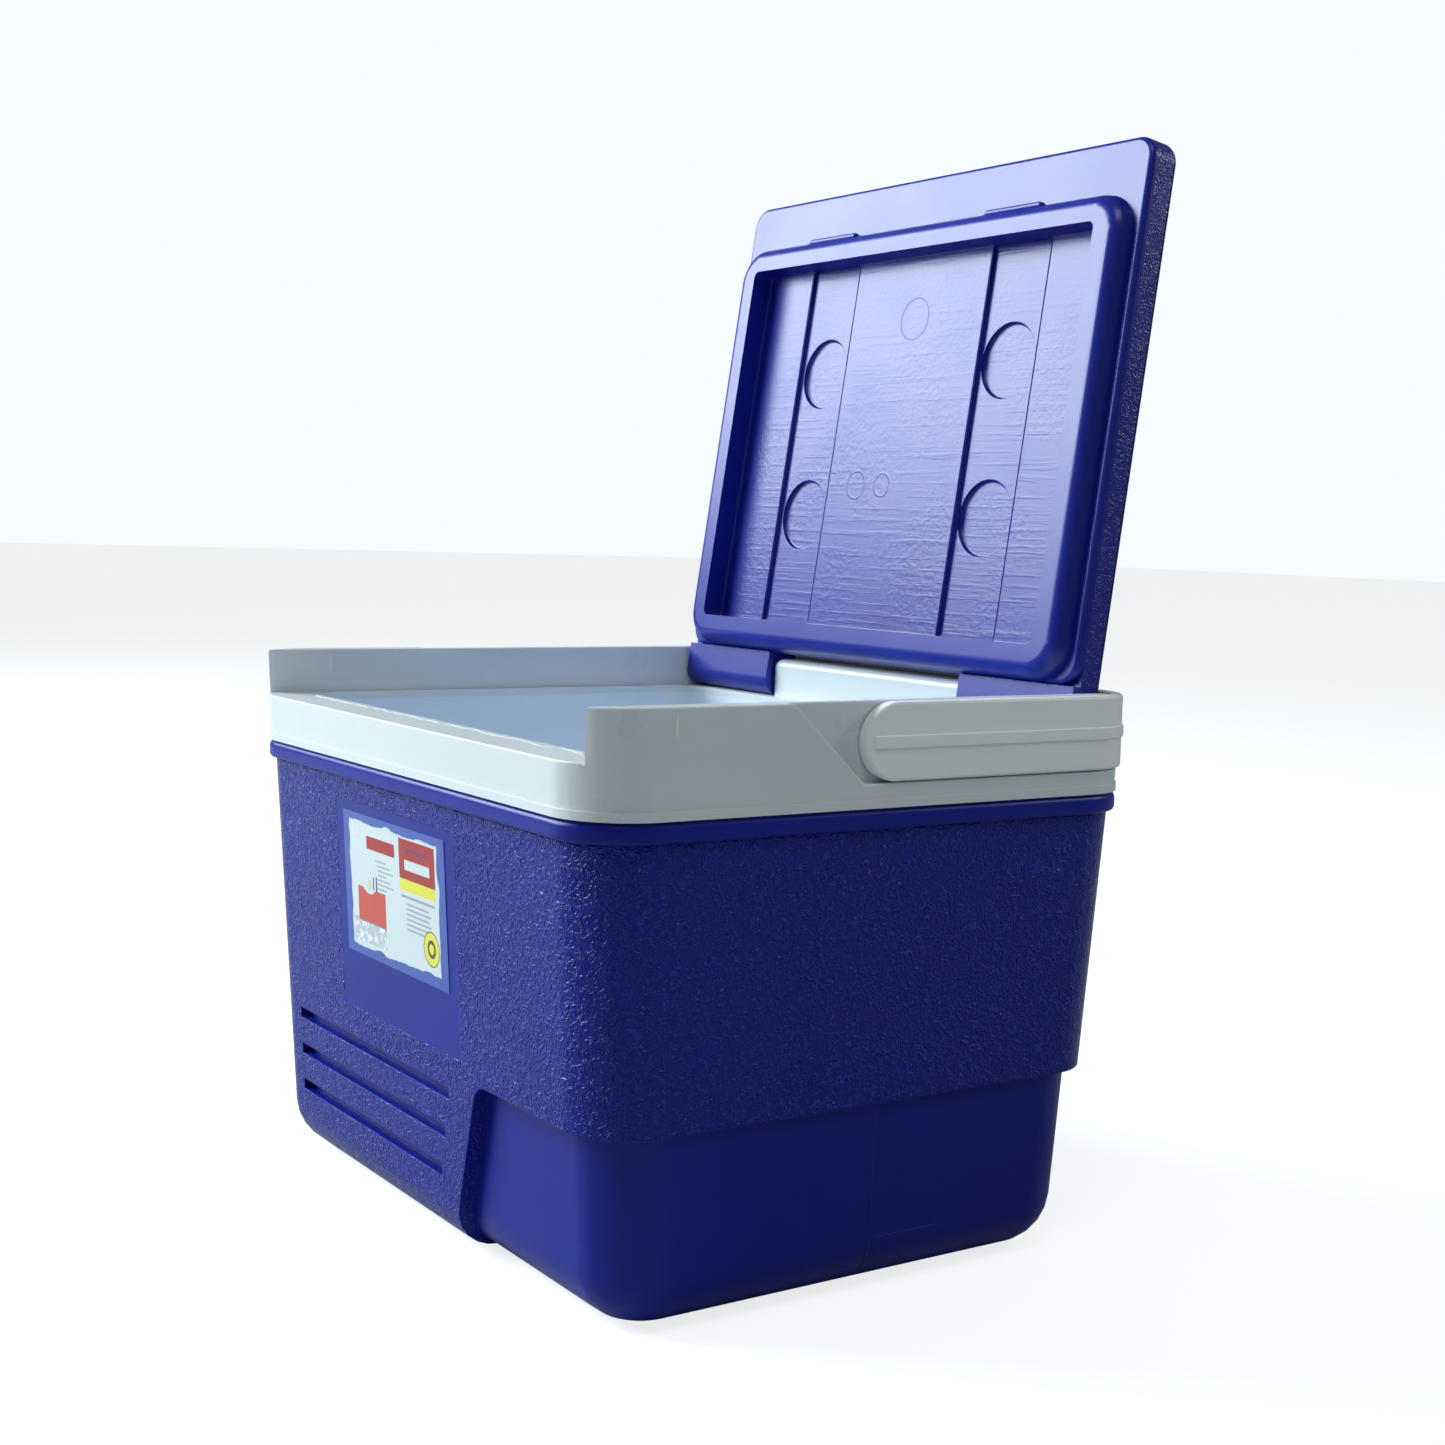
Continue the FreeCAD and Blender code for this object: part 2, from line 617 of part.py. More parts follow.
def make_collar():
    """The rim moulding: skirt, deck round the mouth, two raised wings, rear wall and hinge block."""
    body = new_body("collar")

    def skirt(height):
        side = f"collar_width / 2 - lip_proud + side_draft * (({height}) - rim_height)"
        depth = f"collar_depth / 2 - lip_proud + face_draft * (({height}) - rim_height)"
        return side, depth, depth, "collar_corner - lip_proud"
    add_tapered_form(body, "collar_form", skirt, "rim_height", "wing_top")
    lip = new_sketch(body, "lip_outline", offset="rim_height")
    add_rounded_rectangle(lip, "collar_width / 2", "collar_depth / 2", "collar_depth / 2", "collar_corner")
    add_pad(body, "lip", lip, "lip_height")

    # The space between the wings is open at the front
    def between_wings(height):
        side = f"deck_side + wing_draft * (({height}) - deck_height)"
        return side, "collar_depth", "rear_wall_face", "deck_corner"
    add_tapered_form(body, "between_wings", between_wings, "deck_height", "wing_top + 2",
                     kind="SubtractiveLoft")

    # The block that carries the inner ends of the hinge pins
    block = new_sketch(body, "block_profile", plane="YZ_Plane", offset="-block_side")
    add_polygon(block, [
        ("block_face", "deck_height - deck_wall / 2"),
        ("block_face", "block_top"),
        ("rear_wall_face + 1", "block_top"),
        ("rear_wall_face + 1", "deck_height - deck_wall / 2"),
    ])
    add_pad(body, "hinge_block", block, "2 * block_side")
    side, face, top = number("block_side"), number("block_face"), number("block_top")

    def block_edge(edge):
        box = edge.BoundBox
        on_top = abs(box.ZMin - top) < 0.01 and abs(box.ZMax - top) < 0.01
        at_face = abs(box.YMin - face) < 0.01 and abs(box.YMax - face) < 0.01
        at_end = box.XLength < 0.01 and abs(abs(box.XMin) - side) < 0.01
        return on_top and (at_face or at_end)
    round_edges(body, "block_round_edge", "block_round", block_edge)

    # The recess that the handle lies in: back from a slanted end, round the rear
    recess = new_sketch(body, "recess_outline", offset="wing_top + 1")
    add_u_band(recess, "slant_foot", ("recess_side", "recess_rear", "recess_corner"),
               (f"collar_width / 2 + {BEYOND}", f"collar_depth / 2 + {BEYOND}", "10"))
    cut_pocket(body, "handle_recess", recess, "wing_top + 1 - recess_floor")
    for place, sign in (("right", 1), ("left", -1)):
        slant = new_sketch(body, f"slant_{place}_profile", plane="YZ_Plane",
                           offset=f"{sign} * (collar_width / 2 + {BEYOND})")
        add_polygon(slant, [
            ("-slant_head", "wing_top + 0.8"),
            ("-slant_foot", "recess_floor"),
            ("-slant_foot + 1", "recess_floor"),
            ("-slant_foot + 1", "wing_top + 0.8"),
        ])
        cut_pocket(body, f"slant_{place}", slant, f"collar_width / 2 + {BEYOND} - recess_side",
                   reverse=sign < 0)

    # The mouth, the space under the deck, and the cored-out wings
    mouth = new_sketch(body, "mouth_outline", offset="deck_height + 5")
    add_rounded_rectangle(mouth, "mouth_side", "mouth_front", "mouth_rear", "mouth_corner")
    cut_pocket(body, "mouth", mouth, "deck_height + 5 - rim_height + 1")
    under = new_sketch(body, "under_outline", offset="rim_height - 1")
    add_room_outline(under, "0")
    cut_pocket(body, "under_deck", under, "deck_height - deck_wall - rim_height + 1", reverse=True)
    for place, sign in (("right", 1), ("left", -1)):
        hollow = new_sketch(body, f"wing_hollow_{place}_outline", offset="rim_height - 1")
        near = f"{sign} * (deck_side + collar_wall)"
        far = f"{sign} * (deck_side + collar_wall + wing_hollow_width)"
        add_polygon(hollow, [
            (near, "-wing_hollow_front"),
            (far, "-wing_hollow_front"),
            (far, "-wing_hollow_rear"),
            (near, "-wing_hollow_rear"),
        ])
        cut_pocket(body, f"wing_hollow_{place}", hollow, "wing_top - collar_wall - rim_height + 1",
                   reverse=True)

    # Holes for the hinge pins and for the handle's studs
    cut_pin_holes(body, "pin_hole", "pin_outer_end", "pin_inner_end")
    for place, sign in (("right", 1), ("left", -1)):
        circle = new_sketch(body, f"stud_hole_{place}_circle", plane="YZ_Plane",
                            offset=f"{sign} * collar_width / 2")
        add_circle(circle, "pivot_depth", "pivot_height", "stud_radius + running_fit")
        cut_pocket(body, f"stud_hole_{place}", circle, "collar_width / 2 - stud_end + swing_gap",
                   reverse=sign < 0)
    return body


# ---------------------------------------------------------------- handle

def make_handle():
    """A bail that lies round the rear of the collar, with a proud rib along it and a stud inside each end."""
    body = new_body("handle_bail")
    front = "(handle_height / 2 - pivot_depth)"
    inner = ("handle_side - handle_wall", "handle_rear - handle_wall", "handle_corner - handle_wall")
    band = new_sketch(body, "handle_outline", offset="pivot_height - handle_height / 2")
    add_u_band(band, front, inner, ("handle_side", "handle_rear", "handle_corner"))
    add_pad(body, "handle_band", band, "handle_height")
    end = -number(front)

    def end_edge(edge):
        box = edge.BoundBox
        return abs(box.YMin - end) < 0.01 and abs(box.YMax - end) < 0.01 and box.ZLength < 0.01
    round_edges(body, "handle_end_round", "handle_height / 2 - 0.02", end_edge)
    side, rear = number("handle_side"), number("handle_rear")

    def outer_edge(edge):
        box = edge.BoundBox
        at_side = abs(max(abs(box.XMin), abs(box.XMax)) - side) < 0.01 and box.XLength < 0.01
        at_rear = abs(box.YMin - rear) < 0.01 and abs(box.YMax - rear) < 0.01
        at_corner = box.ZLength < 0.01 and box.XLength > 5 and box.YLength > 5
        outer_corner = at_corner and abs(max(abs(box.XMin), abs(box.XMax)) - side) < 0.01
        return (at_side and (box.YLength > 5 or box.ZLength > 5)) or at_rear or outer_corner
    round_edges(body, "handle_edge", "handle_edge_round", outer_edge)

    rib = new_sketch(body, "rib_outline", offset="pivot_height - rib_height / 2")
    add_u_band(rib, "rib_start", ("handle_side - 1", "handle_rear - 1", "handle_corner - 1"),
               ("handle_side + rib_proud", "handle_rear + rib_proud", "handle_corner + rib_proud"))
    add_pad(body, "rib", rib, "rib_height")
    for place, sign in (("right", 1), ("left", -1)):
        circle = new_sketch(body, f"stud_{place}_circle", plane="YZ_Plane",
                            offset=f"{sign} * (handle_side - handle_wall / 2)")
        add_circle(circle, "pivot_depth", "pivot_height", "stud_radius")
        add_pad(body, f"stud_{place}", circle, "stud_length + handle_wall / 2", reverse=sign > 0)
    return body


# ---------------------------------------------------------------- lid, drawn shut and then swung open

LID_FACE = "(hinge_height - lid_thickness / 2)"
LID_SEAM = f"({LID_FACE} + panel_edge)"
LID_TOP = "(hinge_height + lid_thickness / 2)"
PLATE_BACK = f"({LID_FACE} + panel_wall)"
PLUG_FACE = f"({LID_FACE} - plug_height)"
WINDOW_BACK = f"({PLUG_FACE} + window_depth + panel_wall)"
CHANNEL_BACK = f"({WINDOW_BACK} + channel_depth)"
DIMPLE_BACK = f"({CHANNEL_BACK} + dimple_depth)"


def swing_open(piece):
    """Turns a lid piece about the hinge from shut to its open stop."""
    hinge = FreeCAD.Vector(0, number("hinge_depth"), number("hinge_height"))
    turn = FreeCAD.Rotation(FreeCAD.Vector(1, 0, 0), -number("open_angle"))
    piece.Placement = FreeCAD.Placement(FreeCAD.Vector(0, 0, 0), turn, hinge)
    return piece


def make_lid_cover():
    """The lid's outer shell, with the two lugs that turn on the hinge pins."""
    body = new_body("lid_cover")
    outline = new_sketch(body, "cover_outline", offset=LID_SEAM)
    add_rounded_rectangle(outline, "lid_side", "lid_front", "lid_rear", "lid_corner")
    add_pad(body, "cover_block", outline, f"{LID_TOP} - {LID_SEAM}")
    round_edges(body, "cover_top_edge", "lid_top_round", level(LID_TOP))
    for place, sign in (("right", 1), ("left", -1)):
        inner = f"{sign} * lug_inner"
        profile = new_sketch(body, f"lug_{place}_profile", plane="YZ_Plane", offset=inner)
        add_polygon(profile, [
            ("lid_rear - lid_corner - 1", LID_SEAM),
            ("lid_rear - lid_corner - 1", LID_TOP),
            ("hinge_depth", LID_TOP),
            ("hinge_depth", LID_FACE),
            ("lid_rear", LID_FACE),
            ("lid_rear", LID_SEAM),
        ])
        add_pad(body, f"lug_{place}", profile, "lid_side - lug_inner", reverse=sign < 0)
        barrel = new_sketch(body, f"lug_{place}_circle", plane="YZ_Plane", offset=inner)
        add_circle(barrel, "hinge_depth", "hinge_height", "lid_thickness / 2")
        add_pad(body, f"lug_{place}_barrel", barrel, "lid_side - lug_inner", reverse=sign < 0)
    hollow = new_sketch(body, "cover_hollow_outline", offset=f"{LID_SEAM} - 1")
    add_rounded_rectangle(hollow, "lid_side - lid_wall", "lid_front - lid_wall", "lid_rear - lid_wall",
                          "lid_corner - lid_wall")
    cut_pocket(body, "cover_hollow", hollow, f"{LID_TOP} - lid_wall - {LID_SEAM} + 1", reverse=True)
    cut_pin_holes(body, "lug_hole", "lid_side + 1", "lug_inner - 1")
    return swing_open(body)


def window_steps(body, name, grow, window_top, channel_top, dimple_top, floor, cut):
    """The window with its two channels and four dimples, each to its own height: solid, or cut upwards."""
    step = cut_pocket if cut else add_pad
    outline = new_sketch(body, f"{name}_window_outline", offset=floor)
    add_rounded_rectangle(outline, f"window_side + ({grow})", f"window_front + ({grow})",
                          f"window_rear + ({grow})", f"window_corner + ({grow})")
    step(body, f"{name}_window", outline, f"({window_top}) - ({floor})", reverse=cut)
    for place, sign in (("right", 1), ("left", -1)):
        channel = new_sketch(body, f"{name}_channel_{place}_outline", offset=floor)
        near, far = f"{sign} * (channel_inner - ({grow}))", f"{sign} * (channel_outer + ({grow}))"
        add_polygon(channel, [
            (near, f"-window_front - ({grow})"),
            (far, f"-window_front - ({grow})"),
            (far, f"window_rear + ({grow})"),
            (near, f"window_rear + ({grow})"),
        ])
        step(body, f"{name}_channel_{place}", channel, f"({channel_top}) - ({floor})", reverse=cut)
        for row, y in (("front", "-dimple_front"), ("rear", "dimple_rear")):
            circle = new_sketch(body, f"{name}_dimple_{place}_{row}_circle", offset=floor)
            add_circle(circle, f"{sign} * dimple_centre", y, f"dimple_radius + ({grow})")
            step(body, f"{name}_dimple_{place}_{row}", circle, f"({dimple_top}) - ({floor})", reverse=cut)


def make_lid_panel():
    """The lid's inner panel: a flange, the plug that drops into the mouth, and the stepped window."""
    body = new_body("lid_inner_panel")
    outline = new_sketch(body, "panel_outline", offset=LID_FACE)
    add_rounded_rectangle(outline, "lid_side", "lid_front", "lid_rear", "lid_corner")
    add_pad(body, "panel_plate", outline, "panel_edge")
    round_edges(body, "panel_edge_rounding", "panel_edge_round", level(LID_FACE))
    tray = new_sketch(body, "panel_tray_outline", offset=LID_SEAM)
    add_rounded_rectangle(tray, "lid_side - lid_wall", "lid_front - lid_wall", "lid_rear - lid_wall",
                          "lid_corner - lid_wall")
    cut_pocket(body, "panel_tray", tray, "panel_edge - panel_wall")

    def plug(height):
        narrow = f"plug_draft * ({LID_FACE} - ({height}))"
        return (f"plug_side - {narrow}", f"plug_front - {narrow}", f"plug_rear - {narrow}", "plug_corner")
    add_tapered_form(body, "plug", plug, PLUG_FACE, f"{LID_FACE} + panel_wall / 2", "plug_round")

    ring = new_sketch(body, "plug_back_outline", offset=LID_SEAM)
    add_rounded_rectangle(ring, "plug_side - plug_rim", "plug_front - plug_rim", "plug_rear - plug_rim",
                          "plug_corner - plug_rim")
    add_rounded_rectangle(ring, "window_side + panel_wall", "window_front + panel_wall",
                          "window_rear + panel_wall", "window_corner + panel_wall")
    cut_pocket(body, "plug_back", ring, f"{LID_SEAM} - {PLUG_FACE} - panel_wall")
    window_steps(body, "back", "panel_wall", WINDOW_BACK, CHANNEL_BACK, DIMPLE_BACK,
                 f"{PLUG_FACE} + panel_wall", cut=False)
    window_steps(body, "face", "0", f"{WINDOW_BACK} - panel_wall", f"{CHANNEL_BACK} - panel_wall",
                 f"{DIMPLE_BACK} - panel_wall", f"{PLUG_FACE} - 1", cut=True)
    for place, sign in (("right", 1), ("left", -1)):
        nib = new_sketch(body, f"nib_{place}_outline", plane="XZ_Plane", offset="plug_front - 3")
        low, high = f"{LID_FACE} - nib_height - 1", f"{LID_FACE} - 1"
        add_polygon(nib, [
            (f"{sign} * nib_centre - nib_length / 2", low),
            (f"{sign} * nib_centre + nib_length / 2", low),
            (f"{sign} * nib_centre + nib_length / 2", high),
            (f"{sign} * nib_centre - nib_length / 2", high),
        ])
        add_pad(body, f"nib_{place}", nib, "3 + nib_proud")
    return swing_open(body)


def make_lid_foam():
    """Foam that fills the lid between the panel and the cover."""
    body = new_body("lid_foam")
    outline = new_sketch(body, "lid_foam_outline", offset=f"{PLATE_BACK} + foam_gap")
    inset = "(lid_wall + foam_gap)"
    add_rounded_rectangle(outline, f"lid_side - {inset}", f"lid_front - {inset}", f"lid_rear - {inset}",
                          f"lid_corner - {inset}")
    add_pad(body, "lid_foam_block", outline, f"{LID_TOP} - lid_wall - foam_gap - {PLATE_BACK} - foam_gap")
    window_steps(body, "foam", "panel_wall + foam_gap", f"{WINDOW_BACK} + foam_gap",
                 f"{CHANNEL_BACK} + foam_gap", f"{DIMPLE_BACK} + foam_gap", f"{PLATE_BACK} - 1", cut=True)
    return swing_open(body)


# ---------------------------------------------------------------- pins and label

def make_hinge_pin(name, sign):
    """A plain pin from the wing, through the lid's lug, into the hinge block."""
    pin = doc.addObject("Part::Cylinder", name)
    pin.setExpression("Radius", bound("pin_radius"))
    pin.setExpression("Height", bound("pin_outer_end - pin_inner_end - 2 * foam_gap"))
    start = "pin_inner_end + foam_gap" if sign > 0 else "-(pin_outer_end - foam_gap)"
    pin.Placement = FreeCAD.Placement(
        FreeCAD.Vector(number(start), number("hinge_depth"), number("hinge_height")),
        FreeCAD.Rotation(FreeCAD.Vector(0, 1, 0), 90))
    return pin


def make_label():
    """A thin sticker that lies on the leaning front wall."""
    label = doc.addObject("Part::Box", "label")
    label.setExpression("Length", bound("label_left + label_right"))
    label.setExpression("Width", bound("label_thickness"))
    label.setExpression("Height", bound("label_head - label_foot"))
    lean = math.degrees(math.atan(number("face_draft")))
    face = number(shell_half_depth("label_foot"))
    reach = number("label_thickness") / math.cos(math.radians(lean))
    corner = FreeCAD.Vector(-number("label_left"), -face - reach, number("label_foot"))
    label.Placement = FreeCAD.Placement(corner, FreeCAD.Rotation(FreeCAD.Vector(1, 0, 0), lean))
    return label


def write_parts(pieces):
    """Checks every object, then writes one file for each piece."""
    doc.recompute()
    for item in doc.Objects:
        if "Invalid" in item.State or "Error" in item.State:
            raise RuntimeError(f"{item.Label} is {item.State}")
    for piece in pieces:
        if piece.Shape.isNull() or not piece.Shape.isValid():
            raise RuntimeError(f"{piece.Label} has no valid shape")
        if len(piece.Shape.Solids) != 1:
            raise RuntimeError(f"{piece.Label} has {len(piece.Shape.Solids)} solids")
    os.makedirs("parts", exist_ok=True)
    for piece in pieces:
        piece.Shape.exportStep(f"parts/{piece.Label}.step")
        print(f"{piece.Label:18} {piece.Shape.Volume / 1000:8.1f} cm3")


write_parts([
    make_outer_shell(),
    make_body_foam(),
    make_liner(),
    make_collar(),
    make_label(),
    make_hinge_pin("hinge_pin_right", 1),
    make_hinge_pin("hinge_pin_left", -1),
    make_handle(),
    make_lid_cover(),
    make_lid_panel(),
    make_lid_foam(),
])
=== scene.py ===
import bpy
import json
import math
from mathutils import Matrix, Vector


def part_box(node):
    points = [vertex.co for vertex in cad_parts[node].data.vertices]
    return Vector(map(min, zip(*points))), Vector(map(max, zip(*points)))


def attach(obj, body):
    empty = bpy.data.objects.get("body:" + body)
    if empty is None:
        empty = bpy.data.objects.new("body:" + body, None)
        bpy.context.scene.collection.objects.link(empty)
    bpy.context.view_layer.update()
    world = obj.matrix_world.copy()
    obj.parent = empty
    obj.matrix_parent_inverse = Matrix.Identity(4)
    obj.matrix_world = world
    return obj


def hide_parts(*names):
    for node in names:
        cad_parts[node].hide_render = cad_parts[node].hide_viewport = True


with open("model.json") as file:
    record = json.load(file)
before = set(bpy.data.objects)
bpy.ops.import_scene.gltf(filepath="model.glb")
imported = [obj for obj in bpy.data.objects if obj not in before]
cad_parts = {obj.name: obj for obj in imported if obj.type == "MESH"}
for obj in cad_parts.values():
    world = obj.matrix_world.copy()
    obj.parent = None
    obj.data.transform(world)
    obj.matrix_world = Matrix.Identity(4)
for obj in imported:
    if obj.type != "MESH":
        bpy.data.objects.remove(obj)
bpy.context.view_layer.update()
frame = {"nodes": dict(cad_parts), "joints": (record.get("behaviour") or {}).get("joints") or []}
scene = bpy.context.scene
scene.view_settings.view_transform = "Standard"


# ---------------------------------------------------------------------------------------------------
# Camera. It stands to the right of the front, a little above the rim, and looks across the open mouth
# at the raised lid.
camera_data = bpy.data.cameras.new("camera")
camera_data.lens = 50.45
camera_data.shift_x = -0.0055
camera_data.shift_y = -0.0515
camera_data.clip_start = 0.05
camera = bpy.data.objects.new("camera", camera_data)
camera.location = (0.67865, -0.43384, 0.26510)
camera.rotation_euler = (math.radians(86.660), math.radians(-1.796), math.radians(55.892))
scene.collection.objects.link(camera)
scene.camera = camera


# ---------------------------------------------------------------------------------------------------
# Studio. A plain pale floor and sky, a broad soft light at the front left, which the open lid's inner
# face mirrors, a weak one over the right side, and a small one that grazes the right side from behind.
# Floor and sky look near white but give a weak fill.
FLOOR_SIZE, FLOOR_LEVEL = 30, -0.0004
FLOOR_GREY, FLOOR_SEEN = (0.46, 0.47, 0.48, 1), (0.78, 0.79, 0.80, 1)
SKY_COLOUR = (0.93, 0.97, 1.0, 1)
SKY_FILL, SKY_SEEN = 0.165, 1.0
KEY_COLOUR, SIDE_COLOUR = (0.86, 0.96, 1.0), (0.95, 0.98, 1.0)


def seen_directly(tree):
    return tree.nodes.new("ShaderNodeLightPath").outputs["Is Camera Ray"]


bpy.ops.object.select_all(action="DESELECT")
bpy.ops.mesh.primitive_plane_add(size=FLOOR_SIZE, location=(0, 0, FLOOR_LEVEL))
floor = bpy.context.active_object
floor.name = "studio_floor"
floor_finish = bpy.data.materials.new("pale_floor")
floor_finish.use_nodes = True
floor_tree = floor_finish.node_tree
floor_shader = floor_tree.nodes["Principled BSDF"]
floor_shader.inputs["Base Color"].default_value = FLOOR_GREY
floor_shader.inputs["Roughness"].default_value = 0.8
floor_shader.inputs["Emission Color"].default_value = FLOOR_SEEN
floor_tree.links.new(seen_directly(floor_tree), floor_shader.inputs["Emission Strength"])
floor.data.materials.append(floor_finish)

world = bpy.data.worlds.new("pale_sky")
world.use_nodes = True
sky = world.node_tree.nodes["Background"]
sky.inputs["Color"].default_value = SKY_COLOUR
brightness = world.node_tree.nodes.new("ShaderNodeMapRange")
brightness.inputs["To Min"].default_value = SKY_FILL
brightness.inputs["To Max"].default_value = SKY_SEEN
world.node_tree.links.new(seen_directly(world.node_tree), brightness.inputs["Value"])
world.node_tree.links.new(brightness.outputs[0], sky.inputs["Strength"])
scene.world = world


def soft_light(name, place, aim, width, height, power, colour):
    lamp = bpy.data.lights.new(name, "AREA")
    lamp.shape = "RECTANGLE"
    lamp.size = width
    lamp.size_y = height
    lamp.energy = power
    lamp.color = colour
    holder = bpy.data.objects.new(name, lamp)
    holder.location = place
    holder.rotation_euler = (Vector(aim) - Vector(place)).to_track_quat("-Z", "Y").to_euler()
    scene.collection.objects.link(holder)


soft_light("key_light", place=(-1.52, -1.28, 1.23), aim=(0, 0, 0.25),
           width=1.5, height=1.2, power=84, colour=KEY_COLOUR)
soft_light("right_fill", place=(0.62, -0.35, 1.45), aim=(0.1, 0, 0.1),
           width=0.5, height=0.5, power=3.5, colour=SIDE_COLOUR)
soft_light("rear_graze", place=(0.55, 0.95, 0.75), aim=(0.14, 0, 0.13),
           width=0.25, height=0.25, power=2.4, colour=SIDE_COLOUR)


# ---------------------------------------------------------------------------------------------------
# Outer shell. One polyethylene moulding with a leather-grained wall, a smooth bead round the top and a
# smooth band low on the right. Front and rear each have a smooth panel, the front one for the label, and
# three grooves. Its edges are softened as the mould's are.
MM = 0.001
SHELL_LOW, SHELL_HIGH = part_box("outer_shell")
STEP_HEIGHT = SHELL_LOW.z + 68 * MM
BEAD_FOOT = SHELL_HIGH.z - 7.5 * MM
# The band's front and rear ends lean: how far right of the middle they stand, at the step and the floor
BAND_AT_STEP, BAND_AT_FLOOR = 52.5 * MM, 29 * MM
BAND_LEAN = (BAND_AT_STEP - BAND_AT_FLOOR) / (STEP_HEIGHT - SHELL_LOW.z)
# An edge within these reaches of the step or of a leaning end, on the outer faces, is the band's own
NEAR_STEP, NEAR_END = 1.5 * MM, 9.5 * MM
OUTER_FRONT, OUTER_SIDE = 96 * MM, 130 * MM
BAND_ROUNDING, GROOVE_ROUNDING = 1.9 * MM, 0.45 * MM
PANEL_LEFT, PANEL_RIGHT = -60 * MM, 42 * MM
PANEL_FOOT, PANEL_HEAD = 73.8 * MM, 156 * MM
GROOVES, TOP_GROOVE, GROOVE_STEP, GROOVE_HALF = 3, 59.6 * MM, 15.2 * MM, 2.6 * MM
GROOVE_LEFT, GROOVE_RIGHT, GROOVE_LEAN = -107.6 * MM, 30.4 * MM, 0.26
GROOVES_FOOT, GROOVES_HEAD, FRONT_WALL = 26 * MM, 63 * MM, 100 * MM
PARTING_LINE_Y = (2.2 * MM, 2.8 * MM)
INSERT_LINE_Y, INSERT_LINE_Z = (5 * MM, 34 * MM), (18.8 * MM, 19.3 * MM)
SHELL_GRAIN, PEBBLES, SHELL_GRAIN_DEPTH = 240.0, 720.0, 0.46 * MM
DEEP_BLUE = (0.003, 0.009, 0.215)
WORN_BLUE = (0.005, 0.018, 0.310)
# A lighter blue painted on the grain's ridge tops as a highlight, in place of the light they catch
RIDGE_HIGHLIGHT_BLUE = (0.010, 0.040, 0.400)
MERGE_DISTANCE, FLAT_ANGLE, SMOOTH_ANGLE = 0.02 * MM, math.radians(0.6), math.radians(32)


def moulded_copy(node, name):
    """A clean copy of a CAD node, its triangles merged into whole faces, ready for rounded edges."""
    piece = bpy.data.objects.new(name, frame["nodes"][node].data.copy())
    scene.collection.objects.link(piece)
    piece.data.materials.clear()
    bpy.ops.object.select_all(action="DESELECT")
    piece.select_set(True)
    bpy.context.view_layer.objects.active = piece
    bpy.ops.mesh.customdata_custom_splitnormals_clear()
    bpy.ops.object.mode_set(mode="EDIT")
    bpy.ops.mesh.select_all(action="SELECT")
    bpy.ops.mesh.remove_doubles(threshold=MERGE_DISTANCE)
    bpy.ops.mesh.dissolve_limited(angle_limit=FLAT_ANGLE)
    bpy.ops.mesh.select_all(action="DESELECT")
    bpy.ops.object.mode_set(mode="OBJECT")
    return piece


def round_edges(piece, chosen, radius, segments=3, sharpest=30, clamped=True):
    """Rounds the edges sharper than an angle in degrees whose two ends chosen(a, b) accepts."""
    bpy.context.view_layer.objects.active = piece
    bpy.ops.object.mode_set(mode="EDIT")
    bpy.ops.mesh.select_mode(type="EDGE")
    bpy.ops.mesh.select_all(action="DESELECT")
    bpy.ops.mesh.edges_select_sharp(sharpness=math.radians(sharpest))
    bpy.ops.object.mode_set(mode="OBJECT")
    points = [vertex.co.copy() for vertex in piece.data.vertices]
    for edge in piece.data.edges:
        if edge.select and not chosen(points[edge.vertices[0]], points[edge.vertices[1]]):
            edge.select = False
    bpy.ops.object.mode_set(mode="EDIT")
    bpy.ops.mesh.bevel(offset=radius, segments=segments, affect="EDGES", clamp_overlap=clamped)
    bpy.ops.object.mode_set(mode="OBJECT")


def finish_piece(piece, material, body, node):
    """Shades, paints and fixes a piece to its body, in place of the CAD node that it stands for."""
    bpy.ops.object.select_all(action="DESELECT")
    piece.select_set(True)
    bpy.context.view_layer.objects.active = piece
    bpy.ops.object.shade_smooth_by_angle(angle=SMOOTH_ANGLE)
    bpy.ops.object.modifier_add(type="WEIGHTED_NORMAL")
    piece.modifiers[-1].keep_sharp = True
    bpy.ops.object.modifier_apply(modifier=piece.modifiers[-1].name)
    piece.data.materials.append(material)
    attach(piece, body)
    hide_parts(node)


def on_band_edge(a, b):
    """The step over the smooth band, and its leaning front and rear ends."""
    for point in (a, b):
        end_x = BAND_AT_FLOOR + BAND_LEAN * point.z
        in_band = point.x > end_x - 3.5 * MM and point.z < STEP_HEIGHT + 1 * MM
        near_step = abs(point.z - STEP_HEIGHT) < NEAR_STEP
        near_end = abs(point.x - end_x) < NEAR_END and point.z > 0.1 * MM
        on_outside = abs(point.y) > OUTER_FRONT or point.x > OUTER_SIDE
        if not (in_band and on_outside and (near_step or near_end)):
            return False
    return True


def on_groove(a, b):
    return all(p.x < GROOVE_RIGHT + 1.6 * MM and GROOVES_FOOT < p.z < GROOVES_HEAD
               and abs(p.y) > FRONT_WALL for p in (a, b))


body_shell = moulded_copy("outer_shell", "body_shell")
round_edges(body_shell, on_band_edge, BAND_ROUNDING, segments=4)
round_edges(body_shell, on_groove, GROOVE_ROUNDING, segments=2)


def add_node(tree, kind, **settings):
    node = tree.nodes.new(kind)
    for name, value in settings.items():
        setattr(node, name, value)
    return node


def feed(tree, value, socket):
    """A link where value is another node's socket, or else a plain setting."""
    if isinstance(value, bpy.types.NodeSocket):
        tree.links.new(value, socket)
    else:
        socket.default_value = value


def calculate(tree, operation, first, second=0.0, third=0.0):
    node = add_node(tree, "ShaderNodeMath", operation=operation)
    for value, socket in zip((first, second, third), node.inputs):
        feed(tree, value, socket)
    return node.outputs[0]


def both(tree, first, second):
    return calculate(tree, "MULTIPLY", first, second)


def either(tree, first, second):
    return calculate(tree, "MAXIMUM", first, second)


